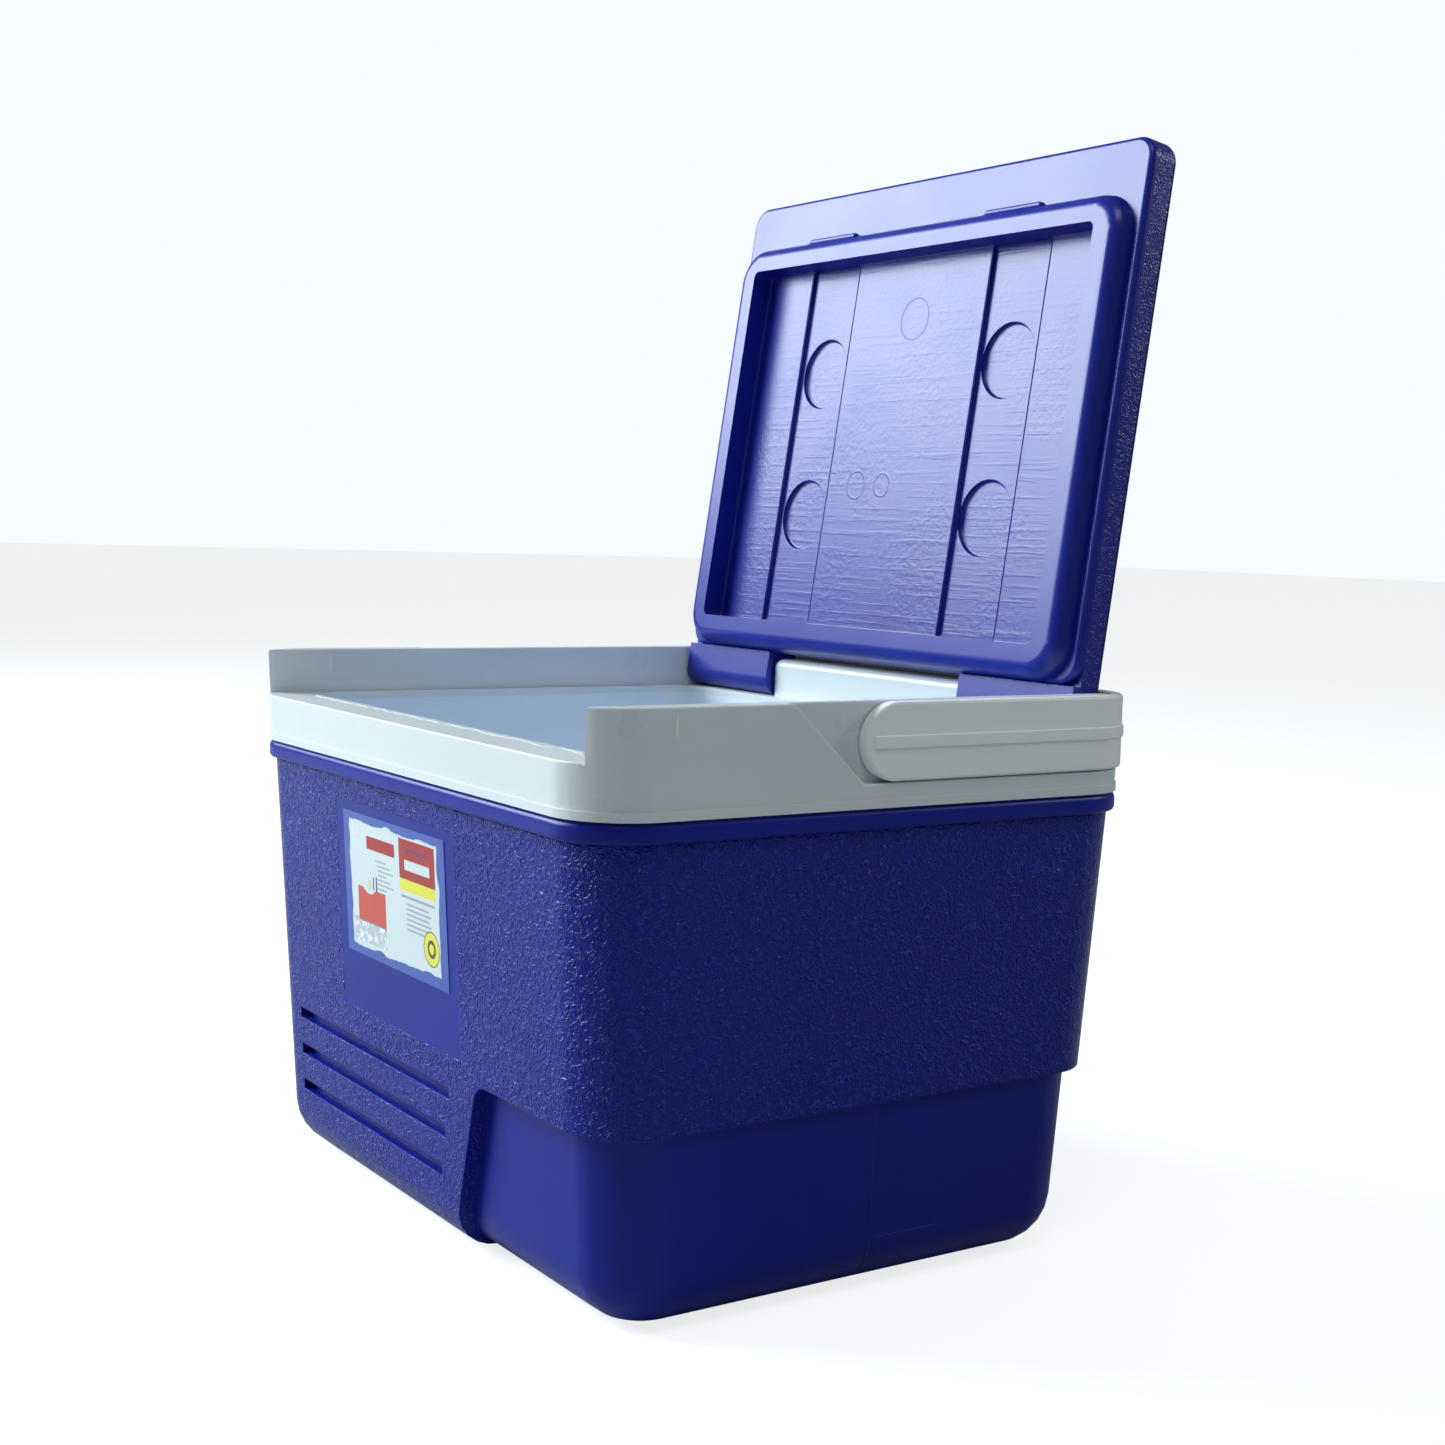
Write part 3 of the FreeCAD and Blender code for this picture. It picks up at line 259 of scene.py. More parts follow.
def times_plus(tree, value, factor, rest):
    return calculate(tree, "MULTIPLY_ADD", value, factor, rest)


def ramp(tree, value, low, high, to_low=0.0, to_high=1.0):
    """to_low below low, to_high above high, and a soft step between them."""
    node = add_node(tree, "ShaderNodeMapRange", interpolation_type="SMOOTHSTEP")
    for value, socket in zip((value, low, high, to_low, to_high), node.inputs):
        feed(tree, value, socket)
    return node.outputs[0]


def inside_span(tree, value, low, high, soft=0.4 * MM):
    """1 between low and high, 0 outside, with a soft step at each end."""
    rise = ramp(tree, value, low - soft, low + soft)
    fall = ramp(tree, value, high - soft, high + soft, 1.0, 0.0)
    return both(tree, rise, fall)


def noise(tree, vector, per_metre, detail=2.0, roughness=0.5, distortion=0.0):
    node = add_node(tree, "ShaderNodeTexNoise")
    settings = {"Vector": vector, "Scale": per_metre, "Detail": detail,
                "Roughness": roughness, "Distortion": distortion}
    for name, value in settings.items():
        feed(tree, value, node.inputs[name])
    return node.outputs["Fac"]


def axes_of(tree, vector):
    node = add_node(tree, "ShaderNodeSeparateXYZ")
    tree.links.new(vector, node.inputs[0])
    return node.outputs


def stretched(tree, vector, scale):
    node = add_node(tree, "ShaderNodeMapping")
    node.inputs["Scale"].default_value = scale
    tree.links.new(vector, node.inputs["Vector"])
    return node.outputs[0]


def mix_colours(tree, share, first, second):
    node = add_node(tree, "ShaderNodeMix", data_type="RGBA")
    feed(tree, share, node.inputs["Factor"])
    for value, name in ((first, "A"), (second, "B")):
        socket = [s for s in node.inputs if s.name == name and s.type == "RGBA"][0]
        feed(tree, value if isinstance(value, bpy.types.NodeSocket) else (*value, 1), socket)
    return [s for s in node.outputs if s.type == "RGBA"][0]


def new_group(name, inputs, outputs):
    """A shader node group with number sockets, except Vector, which is a vector."""
    group = bpy.data.node_groups.new(name, "ShaderNodeTree")
    for socket in inputs:
        kind = "NodeSocketVector" if socket == "Vector" else "NodeSocketFloat"
        group.interface.new_socket(socket, in_out="INPUT", socket_type=kind)
    for socket in outputs:
        group.interface.new_socket(socket, in_out="OUTPUT", socket_type="NodeSocketFloat")
    return group, add_node(group, "NodeGroupInput"), add_node(group, "NodeGroupOutput")


def place_group(tree, group, **values):
    node = add_node(tree, "ShaderNodeGroup")
    node.node_tree = group
    for name, value in values.items():
        feed(tree, value, node.inputs[name])
    return node.outputs


def new_finish(name, specular=0.5):
    """A material, its nodes, its shader, and the place on the piece."""
    material = bpy.data.materials.new(name)
    material.use_nodes = True
    tree = material.node_tree
    shader = tree.nodes["Principled BSDF"]
    shader.inputs["Specular IOR Level"].default_value = specular
    place = add_node(tree, "ShaderNodeTexCoord").outputs["Object"]
    return material, tree, shader, place


def vary_colour(tree, shader, value, first, second):
    tree.links.new(mix_colours(tree, value, first, second), shader.inputs["Base Color"])


def vary_roughness(tree, shader, value, least, span):
    """Roughness runs from least to least + span as value runs from 0 to 1."""
    feed(tree, times_plus(tree, value, span, least), shader.inputs["Roughness"])


def add_bump(tree, shader, height, strength, depth):
    bump = add_node(tree, "ShaderNodeBump")
    bump.inputs["Strength"].default_value = strength
    bump.inputs["Distance"].default_value = depth
    feed(tree, height, bump.inputs["Height"])
    tree.links.new(bump.outputs["Normal"], shader.inputs["Normal"])


# Leather grain, as a spark-etched mould leaves on polyethylene: worm-like ridges where a noise is near
# its middle, with flat tops, and finer pebbles all over
grain_group, grain_in, grain_out = new_group("leather_grain", ["Vector", "Scale"], ["Height", "Ridges"])
grain_place = grain_in.outputs["Vector"]
worms = noise(grain_group, grain_place, grain_in.outputs["Scale"],
              detail=1.5, roughness=0.45, distortion=0.9)
off_middle = calculate(grain_group, "ABSOLUTE", calculate(grain_group, "SUBTRACT", worms, 0.5))
plateau = ramp(grain_group, off_middle, 0.010, 0.070, 1.0, 0.0)
pebbles = ramp(grain_group, noise(grain_group, grain_place, PEBBLES, detail=1.0), 0.48, 0.66)
grain_height = times_plus(grain_group, pebbles, 0.70, calculate(grain_group, "MULTIPLY", plateau, 0.9))
feed(grain_group, grain_height, grain_out.inputs["Height"])
# Ridges marks the ridges' flat tops, where the shell paints a highlight
feed(grain_group, ramp(grain_group, off_middle, 0.004, 0.034, 1.0, 0.0), grain_out.inputs["Ridges"])

# Handling marks: soft cloudy gloss, and faint scuffs that run level
wear_group, wear_in, wear_out = new_group("handling_wear", ["Vector"], ["Clouds", "Scuffs"])
wear_place = wear_in.outputs["Vector"]
clouds = noise(wear_group, wear_place, 22.0, detail=3.0, roughness=0.55)
feed(wear_group, clouds, wear_out.inputs["Clouds"])
scuff_place = stretched(wear_group, wear_place, (1.0, 1.0, 7.0))
scuffs = ramp(wear_group, noise(wear_group, scuff_place, 60.0, detail=5.0, roughness=0.65), 0.60, 0.72)
feed(wear_group, scuffs, wear_out.inputs["Scuffs"])

# Where the mould was polished instead: the band, the label's panel, the bead, the foot and the grooves
smooth_group, smooth_in, smooth_out = new_group("shell_smooth_areas", ["Vector"], ["Grained"])
shell_x, shell_y, shell_z = axes_of(smooth_group, smooth_in.outputs["Vector"])
upright_x = times_plus(smooth_group, shell_z, -BAND_LEAN, shell_x)
right_of_end = ramp(smooth_group, upright_x, BAND_AT_FLOOR - 0.6 * MM, BAND_AT_FLOOR + 0.4 * MM)
under_step = ramp(smooth_group, shell_z, STEP_HEIGHT - 0.2 * MM, STEP_HEIGHT + 0.8 * MM, 1.0, 0.0)
panel_face = both(smooth_group, inside_span(smooth_group, shell_x, PANEL_LEFT, PANEL_RIGHT),
                  inside_span(smooth_group, shell_z, PANEL_FOOT, PANEL_HEAD))
at_front_or_rear = ramp(smooth_group, calculate(smooth_group, "ABSOLUTE", shell_y), 90 * MM, 100 * MM)
smooth_areas = [
    both(smooth_group, right_of_end, under_step),
    both(smooth_group, panel_face, at_front_or_rear),
    ramp(smooth_group, shell_z, BEAD_FOOT - 0.9 * MM, BEAD_FOOT - 0.1 * MM),
    ramp(smooth_group, shell_z, 1.0 * MM, 4.0 * MM, 1.0, 0.0),
]
for groove in range(GROOVES):
    centre = TOP_GROOVE - GROOVE_STEP * groove
    right_end = GROOVE_RIGHT - GROOVE_LEAN * GROOVE_STEP * groove
    smooth_areas.append(both(
        smooth_group,
        inside_span(smooth_group, shell_z, centre - GROOVE_HALF, centre + GROOVE_HALF, 0.3 * MM),
        inside_span(smooth_group, shell_x, GROOVE_LEFT, right_end + 0.6 * MM, 0.3 * MM)))
smooth = 0.0
for area in smooth_areas:
    smooth = either(smooth_group, area, smooth)
feed(smooth_group, calculate(smooth_group, "SUBTRACT", 1.0, smooth), smooth_out.inputs["Grained"])

grained_blue, tree, shader, place = new_finish("grained_blue_polyethylene", 0.22)
clouds = place_group(tree, wear_group, Vector=place)["Clouds"]
grain = place_group(tree, grain_group, Vector=place, Scale=SHELL_GRAIN)
grained = place_group(tree, smooth_group, Vector=place)["Grained"]
# Painted highlight: away from the smooth areas, the grain's ridge tops are painted a lighter blue, as if
# they caught the light
painted_ridge_highlight = calculate(tree, "MULTIPLY", both(tree, grain["Ridges"], grained), 0.6)
clouded_blue = mix_colours(tree, clouds, DEEP_BLUE, WORN_BLUE)
vary_colour(tree, shader, painted_ridge_highlight, clouded_blue, RIDGE_HIGHLIGHT_BLUE)
smooth_roughness = times_plus(tree, clouds, 0.12, 0.26)
feed(tree, times_plus(tree, grained, -0.13, smooth_roughness), shader.inputs["Roughness"])
ripple = calculate(tree, "MULTIPLY", noise(tree, place, 180.0), 0.03)
# The mould's parting line runs up the middle of the band's side, and a faint insert line lies low on it
side_y, side_z = axes_of(tree, place)[1:]
parting_line = both(tree, inside_span(tree, side_y, *PARTING_LINE_Y, 0.25 * MM),
                    ramp(tree, side_z, STEP_HEIGHT - 3 * MM, STEP_HEIGHT - 1 * MM, 1.0, 0.0))
insert_line = both(tree, inside_span(tree, side_y, *INSERT_LINE_Y, 2 * MM),
                   inside_span(tree, side_z, *INSERT_LINE_Z, 0.25 * MM))
ripple = times_plus(tree, either(tree, parting_line, insert_line), 0.55, ripple)
relief = times_plus(tree, grain["Height"], grained, ripple)
add_bump(tree, shader, relief, strength=1.0, depth=SHELL_GRAIN_DEPTH)
finish_piece(body_shell, grained_blue, "chest", "outer_shell")


# ---------------------------------------------------------------------------------------------------
# Collar. A white polypropylene rim welded on the shell: a low ledge in front, a raised wing on each
# side with a slanted end where the handle's recess begins, a rear wall, and the hinge block.
DECK_THICKNESS = 3 * MM
DECK_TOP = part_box("liner_tub")[1].z + DECK_THICKNESS
LEDGE_BACK = -108 * MM
LEDGE_ROUNDING, COLLAR_ROUNDING = 2.0 * MM, 0.6 * MM
GATE_Y, GATE_Z = (-89.2 * MM, -88.7 * MM), (199 * MM, 206 * MM)
COLLAR_WHITE, COLLAR_WORN, GATE_WHITE = (0.66, 0.73, 0.755), (0.72, 0.775, 0.79), (0.93, 0.96, 0.97)


def on_front_ledge(a, b):
    return all(abs(p.z - DECK_TOP) < 0.1 * MM and p.y < LEDGE_BACK for p in (a, b))


def anywhere(a, b):
    return True


collar_rim = moulded_copy("collar", "collar_rim")
round_edges(collar_rim, on_front_ledge, LEDGE_ROUNDING, segments=4)
round_edges(collar_rim, anywhere, COLLAR_ROUNDING, sharpest=40)

white_polypropylene, tree, shader, place = new_finish("white_polypropylene")
clouds = place_group(tree, wear_group, Vector=place)["Clouds"]
# A pale streak on each wing shows where the plastic entered the mould
wing_y, wing_z = axes_of(tree, place)[1:]
gate_streak = both(tree, inside_span(tree, wing_y, *GATE_Y, 0.3 * MM),
                   inside_span(tree, wing_z, *GATE_Z, 2 * MM))
clouded_white = mix_colours(tree, clouds, COLLAR_WHITE, COLLAR_WORN)
vary_colour(tree, shader, gate_streak, clouded_white, GATE_WHITE)
vary_roughness(tree, shader, clouds, least=0.20, span=0.22)
relief = times_plus(tree, gate_streak, 0.8, noise(tree, place, 900.0))
add_bump(tree, shader, relief, strength=0.10, depth=0.10 * MM)
shader.inputs["Subsurface Weight"].default_value = 0.08
shader.inputs["Subsurface Radius"].default_value = (4 * MM, 4 * MM, 5 * MM)
shader.inputs["Subsurface Scale"].default_value = 1.0
finish_piece(collar_rim, white_polypropylene, "chest", "collar")


# ---------------------------------------------------------------------------------------------------
# Weld flash. Where the liner is welded under the mouth, a torn lip of plastic lies on the front ledge,
# thin enough to go under the shut lid.
FLASH_LENGTH, FLASH_WIDTH, FLASH_THICKNESS = 226 * MM, 2.4 * MM, 0.24 * MM
MOUTH_FRONT = -101.4 * MM
TEAR_LENGTH, TEAR_DEPTH = 9 * MM, 6 * MM

bpy.ops.object.select_all(action="DESELECT")
flash_middle = (0, MOUTH_FRONT - FLASH_WIDTH / 2, DECK_TOP + FLASH_THICKNESS / 2)
bpy.ops.mesh.primitive_grid_add(x_subdivisions=150, y_subdivisions=2, size=1, location=flash_middle)
weld_flash = bpy.context.active_object
weld_flash.name = weld_flash.data.name = "weld_flash"
bpy.ops.transform.resize(value=(FLASH_LENGTH, FLASH_WIDTH, 1))
bpy.ops.object.transform_apply(location=True, rotation=True, scale=True)
torn_side = weld_flash.vertex_groups.new(name="torn_side")
for reach, share in ((FLASH_WIDTH, 1.0), (FLASH_WIDTH / 2, 0.5)):
    row = [vertex.index for vertex in weld_flash.data.vertices
           if abs(vertex.co.y - MOUTH_FRONT + reach) < 0.1 * FLASH_WIDTH]
    torn_side.add(row, share, "ADD")
tears = bpy.data.textures.new("tears", "CLOUDS")
tears.noise_scale = TEAR_LENGTH
tears.noise_depth = 3
for kind in ("DISPLACE", "SOLIDIFY"):
    bpy.ops.object.modifier_add(type=kind)
displace, thicken = weld_flash.modifiers
displace.texture = tears
displace.texture_coords = "LOCAL"
displace.direction = "Y"
displace.vertex_group = "torn_side"
displace.mid_level = 0.62
displace.strength = TEAR_DEPTH
thicken.thickness = FLASH_THICKNESS
thicken.offset = 0
for modifier in (displace.name, thicken.name):
    bpy.ops.object.modifier_apply(modifier=modifier)
bpy.ops.object.shade_smooth_by_angle(angle=math.radians(40))
weld_flash.data.materials.append(white_polypropylene)
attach(weld_flash, "chest")


# ---------------------------------------------------------------------------------------------------
# Liner. A thin white polypropylene tub, welded under the collar's deck. It holds the contents, and its
# floor and walls carry faint scuffs.
LINER_WHITE, LINER_WORN = (0.71, 0.83, 0.94), (0.76, 0.87, 0.97)

tub_liner = moulded_copy("liner_tub", "tub_liner")
liner_white, tree, shader, place = new_finish("white_liner_polypropylene")
wear = place_group(tree, wear_group, Vector=place)
vary_colour(tree, shader, wear["Clouds"], LINER_WHITE, LINER_WORN)
vary_roughness(tree, shader, wear["Scuffs"], least=0.30, span=0.15)
add_bump(tree, shader, noise(tree, place, 120.0, detail=3.0), strength=0.12, depth=0.2 * MM)
finish_piece(tub_liner, liner_white, "chest", "liner_tub")


# ---------------------------------------------------------------------------------------------------
# Handle. One white polypropylene strap that wraps the rear, with a proud rib and a snap stud at each
# end. It is the same plastic as the collar, painted a shade brighter as painted light, for the extra
# light that falls on it.
HANDLE_ROUNDING = 0.35 * MM
# Painted light: the handle's whites are brighter than the collar's, standing in for the light it catches
HANDLE_LIT_WHITE, HANDLE_LIT_WORN = (0.91, 0.96, 0.97), (0.93, 0.97, 0.98)

carry_handle = moulded_copy("handle_bail", "carry_handle")
round_edges(carry_handle, anywhere, HANDLE_ROUNDING, segments=2, sharpest=34)
handle_white, tree, shader, place = new_finish("handle_polypropylene")
clouds = place_group(tree, wear_group, Vector=place)["Clouds"]
vary_colour(tree, shader, clouds, HANDLE_LIT_WHITE, HANDLE_LIT_WORN)
vary_roughness(tree, shader, clouds, least=0.24, span=0.20)
sink_marks = times_plus(tree, noise(tree, place, 70.0), 0.5, noise(tree, place, 700.0))
add_bump(tree, shader, sink_marks, strength=0.12, depth=0.10 * MM)
finish_piece(carry_handle, handle_white, "handle", "handle_bail")


# ---------------------------------------------------------------------------------------------------
# Lid cover. The grained polyethylene outer half of the lid, with the two lugs that turn on the hinge
# pins. The lugs' outer corners are cut back flush with the rounding along the cover's sides.
LID_HINGE = [joint for joint in frame["joints"] if joint["name"] == "lid_hinge"][0]
HINGE = Vector(LID_HINGE["pos_m"])
OPEN_ANGLE = math.radians(LID_HINGE["range_deg"][1])
LID_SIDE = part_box("lid_cover")[1].x
LID_TOP, LID_ROUNDING = 7.5 * MM, 4.0 * MM
CORNER_CUTS = (22.5, 45.0, 67.5)
LUG_FACE = -10.5 * MM
LID_GRAIN, LID_GRAIN_DEPTH = 380.0, 0.4 * MM


def as_shut(point):
    """A point on the open lid, as it lies from the hinge when the lid is shut."""
    return Matrix.Rotation(OPEN_ANGLE, 3, "X") @ (point - HINGE)


def as_open(point):
    """A point measured from the hinge on the shut lid, as it lies on the open lid."""
    return HINGE + Matrix.Rotation(-OPEN_ANGLE, 3, "X") @ point


def as_shut_place(tree, place):
    """The same as as_shut for a material, whose pattern then lies square to the lid."""
    turn = add_node(tree, "ShaderNodeMapping", vector_type="TEXTURE")
    turn.inputs["Location"].default_value = HINGE
    turn.inputs["Rotation"].default_value = (-OPEN_ANGLE, 0, 0)
    tree.links.new(place, turn.inputs["Vector"])
    return turn.outputs["Vector"]


lid_shell = moulded_copy("lid_cover", "lid_shell")
bpy.ops.object.mode_set(mode="EDIT")
for side in (1, -1):
    for slope in CORNER_CUTS:
        outward = Vector((side * math.cos(math.radians(slope)), 0, math.sin(math.radians(slope))))
        rounding_centre = Vector((side * (LID_SIDE - LID_ROUNDING), 0, LID_TOP - LID_ROUNDING))
        touching = rounding_centre + outward * (LID_ROUNDING + 0.02 * MM)
        bpy.ops.mesh.select_all(action="SELECT")
        bpy.ops.mesh.bisect(plane_co=as_open(touching), plane_no=as_open(outward) - HINGE,
                            use_fill=True, clear_outer=True)
bpy.ops.mesh.select_all(action="DESELECT")
bpy.ops.object.mode_set(mode="OBJECT")

lid_grain, tree, shader, place = new_finish("grained_blue_lid_polyethylene")
clouds = place_group(tree, wear_group, Vector=place)["Clouds"]
grain = place_group(tree, grain_group, Vector=place, Scale=LID_GRAIN)
vary_colour(tree, shader, clouds, DEEP_BLUE, WORN_BLUE)
vary_roughness(tree, shader, clouds, least=0.28, span=0.16)
lid_along = axes_of(tree, as_shut_place(tree, place))[1]
off_lugs = ramp(tree, lid_along, LUG_FACE - 2 * MM, LUG_FACE, 1.0, 0.0)
add_bump(tree, shader, both(tree, grain["Height"], off_lugs), strength=0.35, depth=LID_GRAIN_DEPTH)
finish_piece(lid_shell, lid_grain, "lid", "lid_cover")


# ---------------------------------------------------------------------------------------------------
# Lid panel. The smooth polyethylene inner half of the lid: a flange, the plug that drops into the
# mouth, and a stepped window with two channels and four round dimples. The window's floor shows flow
# streaks, orange peel, and the thin rings that inserts in the mould leave.
WINDOW_FLOOR, CHANNEL_FLOOR, DIMPLE_FLOOR = -4.8 * MM, -3.1 * MM, -1.3 * MM
WINDOW_HALF, WINDOW_FRONT, WINDOW_REAR = 112 * MM, -187 * MM, -25 * MM
RING_HALF = 0.35 * MM
# Each ring's middle on the shut lid, measured from the hinge, and its radius
RINGS = ((-24 * MM, -88 * MM, 6 * MM), (-6 * MM, -88 * MM, 5 * MM), (0, -160 * MM, 9 * MM))


def at_level(level):
    """Chooses the channels' long sides and the dimples' rims that lie at one level of the shut lid."""
    def chosen(a, b):
        start, end = as_shut(a), as_shut(b)
        flat = all(abs(p.z - level) < 0.1 * MM and abs(p.x) < 100 * MM for p in (start, end))
        lengthwise = abs(start.x - end.x) < 0.05 * MM
        within = all(WINDOW_FRONT + 2 * MM < p.y < WINDOW_REAR - 2 * MM for p in (start, end))
        return flat and (lengthwise or within)
    return chosen


lid_panel = moulded_copy("lid_inner_panel", "lid_panel")
for level, radius, segments in ((WINDOW_FLOOR, 1.0 * MM, 3), (CHANNEL_FLOOR, 0.4 * MM, 2),
                                (DIMPLE_FLOOR, 0.5 * MM, 2)):
    round_edges(lid_panel, at_level(level), radius, segments, sharpest=40, clamped=False)

smooth_blue, tree, shader, place = new_finish("smooth_blue_polyethylene", 0.44)
clouds = place_group(tree, wear_group, Vector=place)["Clouds"]
vary_colour(tree, shader, clouds, DEEP_BLUE, WORN_BLUE)
vary_roughness(tree, shader, clouds, least=0.27, span=0.10)
lid_place = as_shut_place(tree, place)
across, along = axes_of(tree, lid_place)[:2]


def distance(tree, x, y, centre_x, centre_y):
    dx = calculate(tree, "SUBTRACT", x, centre_x)
    dy = calculate(tree, "SUBTRACT", y, centre_y)
    return calculate(tree, "SQRT", times_plus(tree, dx, dx, both(tree, dy, dy)))


rings = 0.0
for ring_x, ring_y, radius in RINGS:
    reach = distance(tree, across, along, ring_x, ring_y)
    ring = inside_span(tree, reach, radius - RING_HALF, radius + RING_HALF, 0.25 * MM)
    rings = either(tree, ring, rings)
streak_place = stretched(tree, lid_place, (18.0, 420.0, 60.0))
streaks = ramp(tree, noise(tree, streak_place, 1.0, detail=3.0, roughness=0.6), 0.45, 0.75)
peel = noise(tree, place, 420.0, distortion=0.4)
patches = ramp(tree, noise(tree, place, 28.0), 0.36, 0.60)
pitted = both(tree, calculate(tree, "SUBTRACT", peel, 0.5), patches)
window_relief = times_plus(tree, streaks, 0.75, calculate(tree, "MULTIPLY", pitted, 2.2))
window_relief = times_plus(tree, rings, 1.6, window_relief)
window = both(tree, inside_span(tree, across, -WINDOW_HALF, WINDOW_HALF),
              inside_span(tree, along, WINDOW_FRONT, WINDOW_REAR))
relief = times_plus(tree, window_relief, window, calculate(tree, "MULTIPLY", peel, 0.10))
add_bump(tree, shader, relief, strength=0.30, depth=0.17 * MM)
finish_piece(lid_panel, smooth_blue, "lid", "lid_inner_panel")


# ---------------------------------------------------------------------------------------------------
# Label. A coated paper sticker on the front's smooth panel, printed with plain shapes: a border, an
# irregular pale ground, a red block, a yellow strip, ruled lines, a small tub on ice, and a disc.
# Places on it are in millimetres from its lower left corner.
PAPER, BORDER_BLUE = (0.66, 0.74, 0.77), (0.045, 0.10, 0.42)
INK_RED, INK_YELLOW, INK_GREY = (0.40, 0.012, 0.012), (0.78, 0.76, 0.05), (0.10, 0.11, 0.14)
INK_PLUM, INK_BLACK, DISC_EDGE = (0.10, 0.02, 0.12), (0.05, 0.05, 0.05), (0.10, 0.09, 0.06)
TUB_RED, ICE_WHITE, ICE_SHADE = (0.60, 0.07, 0.04), (0.82, 0.87, 0.88), (0.16, 0.22, 0.30)
BOTTLE_BLUE, BOTTLE_GOLD, BOTTLE_NAVY = (0.05, 0.05, 0.30), (0.60, 0.55, 0.05), (0.04, 0.05, 0.20)
SMALL_LINES, SMALL_LINE_STEP = 7, 1.75
RULED_LINES, RULED_LINE_STEP = 6, 1.9
DISC_X, DISC_Z = 75, 13.5

label_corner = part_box("label")[0]
sticker = moulded_copy("label", "front_label")
print_ink, tree, shader, place = new_finish("printed_label")
label_axes = axes_of(tree, place)
label_x = calculate(tree, "SUBTRACT", label_axes[0], label_corner.x)
label_z = calculate(tree, "SUBTRACT", label_axes[2], label_corner.z)


def block(left, foot, right, head, lean=0.0):
    """A printed block. lean slants it sideways as it rises."""
    leaned = times_plus(tree, label_z, -lean, label_x)
    return both(tree, inside_span(tree, leaned, left * MM, right * MM, 0.15 * MM),
                inside_span(tree, label_z, foot * MM, head * MM, 0.15 * MM))


def disc(x, z, radius):
    reach = distance(tree, label_x, label_z, x * MM, z * MM)
    return ramp(tree, reach, (radius - 0.2) * MM, (radius + 0.2) * MM, 1.0, 0.0)


wobble = times_plus(tree, noise(tree, place, 75.0), 5.0 * MM, -2.5 * MM)
ground = both(
    tree,
    inside_span(tree, calculate(tree, "ADD", label_x, wobble), 5.5 * MM, 82 * MM, 0.2 * MM),
    inside_span(tree, calculate(tree, "ADD", label_z, wobble), 4.0 * MM, 52.3 * MM, 0.2 * MM))
small_lines = [(INK_GREY, block(24, 38.6 - SMALL_LINE_STEP * row, 38 + 3 * (row % 3),
                                39.2 - SMALL_LINE_STEP * row), 0.55) for row in range(SMALL_LINES)]
ruled_lines = [(INK_GREY, block(55, 26.5 - RULED_LINE_STEP * row, 74 + 1.5 * (row % 2),
                                27.2 - RULED_LINE_STEP * row), 0.6) for row in range(RULED_LINES)]
cracked_ice = both(tree, block(7, 5.5, 36, 14.5), ramp(tree, noise(tree, place, 420.0), 0.44, 0.5))
disc_hole = calculate(tree, "SUBTRACT", 1.0, disc(DISC_X, DISC_Z, 2.0))
disc_ring = both(tree, disc(DISC_X, DISC_Z, 3.4), disc_hole)
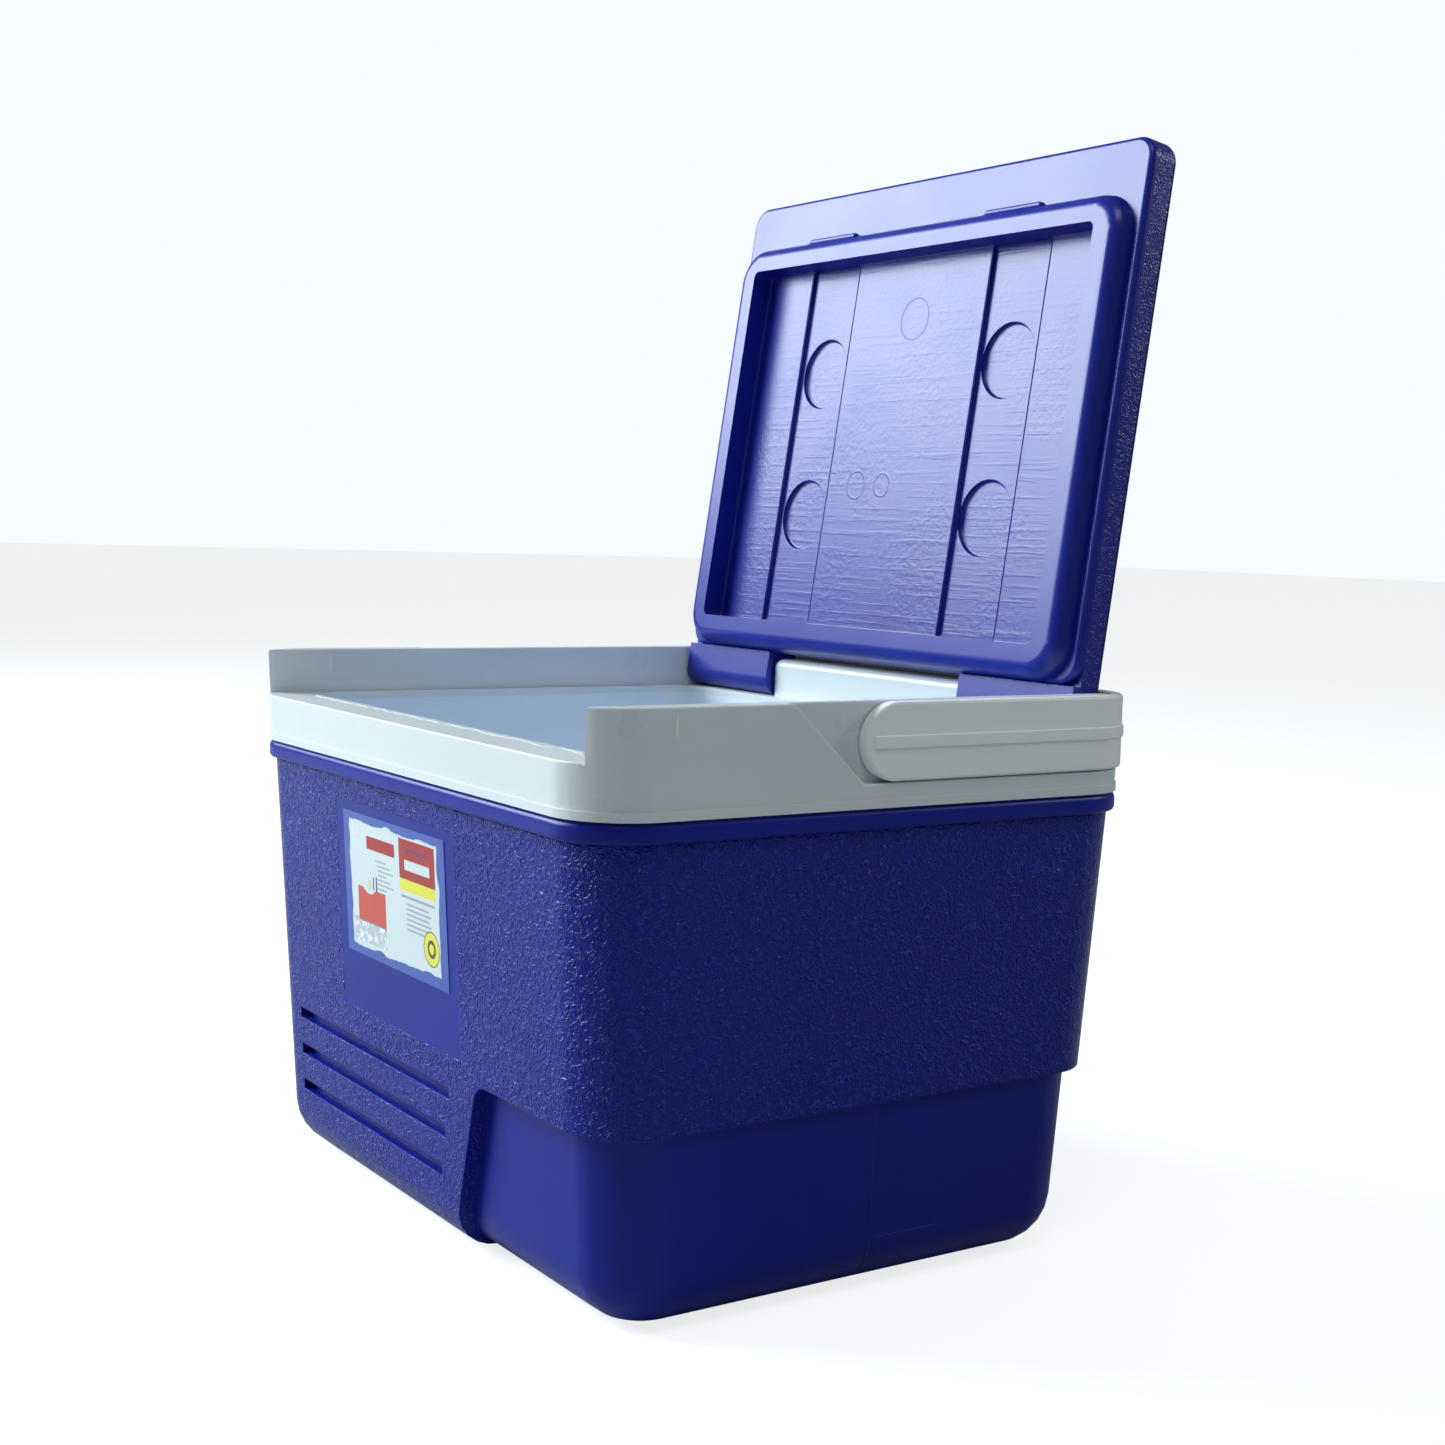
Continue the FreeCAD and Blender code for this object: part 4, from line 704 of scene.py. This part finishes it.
# Each layer of ink: its colour, where it lies, and how fully it covers what is under it
layers = [
    (INK_RED, block(50, 36, 80, 51), 1.0),
    (INK_PLUM, block(56, 46.4, 74, 47.8), 0.7),
    (INK_YELLOW, block(50, 31.6, 80, 36), 1.0),
    (PAPER, block(54.5, 39.6, 75.5, 43.4), 1.0),
    (INK_RED, block(21, 42.5, 46, 47.5), 1.0),
    *small_lines,
    *ruled_lines,
    (INK_GREY, block(51, 29.0, 79, 30.0), 0.6),
    (TUB_RED, block(11, 13, 36, 27, 0.02), 1.0),
    (PAPER, disc(22, 33.5, 8.5), 1.0),
    (BOTTLE_BLUE, block(22.5, 27, 23.6, 32, 0.1), 1.0),
    (BOTTLE_GOLD, block(24.6, 26.4, 26.0, 30.5, -0.1), 1.0),
    (BOTTLE_NAVY, block(26.6, 26.4, 27.8, 32.5, 0.05), 1.0),
    (ICE_WHITE, block(7, 5.5, 35, 13.5), 0.9),
    (ICE_SHADE, cracked_ice, 0.5),
    (DISC_EDGE, disc(DISC_X, DISC_Z, 6.6), 1.0),
    (INK_YELLOW, disc(DISC_X, DISC_Z, 6.1), 1.0),
    (INK_BLACK, disc_ring, 1.0),
]
inks = mix_colours(tree, ground, BORDER_BLUE, PAPER)
for colour, mask, cover in layers:
    inks = mix_colours(tree, calculate(tree, "MULTIPLY", mask, cover), inks, colour)
tree.links.new(inks, shader.inputs["Base Color"])
vary_roughness(tree, shader, noise(tree, place, 90.0, detail=3.0), least=0.22, span=0.20)
add_bump(tree, shader, noise(tree, place, 1500.0, detail=3.0), strength=0.08, depth=0.05 * MM)
finish_piece(sticker, print_ink, "chest", "label")


# ---------------------------------------------------------------------------------------------------
# Hinge pins and foam. Plain drawn steel pins, and rigid foam inside the walls and the lid, which only
# show when the chest is taken apart. Their shapes stay as they are in the design.
STEEL, STEEL_BRIGHT = (0.50, 0.50, 0.52), (0.66, 0.66, 0.68)
FOAM, FOAM_PALE = (0.74, 0.70, 0.52), (0.86, 0.83, 0.70)

pin_steel, tree, shader, place = new_finish("drawn_steel")
shader.inputs["Metallic"].default_value = 1.0
drawn_lines = noise(tree, stretched(tree, place, (4.0, 900.0, 900.0)), 1.0, detail=3.0)
vary_colour(tree, shader, drawn_lines, STEEL, STEEL_BRIGHT)
vary_roughness(tree, shader, drawn_lines, least=0.20, span=0.20)

rigid_foam, tree, shader, place = new_finish("rigid_foam", 0.2)
shader.inputs["Roughness"].default_value = 0.85
cells = noise(tree, place, 900.0, detail=3.0)
vary_colour(tree, shader, cells, FOAM, FOAM_PALE)
add_bump(tree, shader, cells, strength=0.5, depth=0.3 * MM)

for node, finish in (("hinge_pin_right", pin_steel), ("hinge_pin_left", pin_steel),
                     ("body_foam", rigid_foam), ("lid_foam", rigid_foam)):
    mesh = frame["nodes"][node].data
    mesh.materials.clear()
    mesh.materials.append(finish)
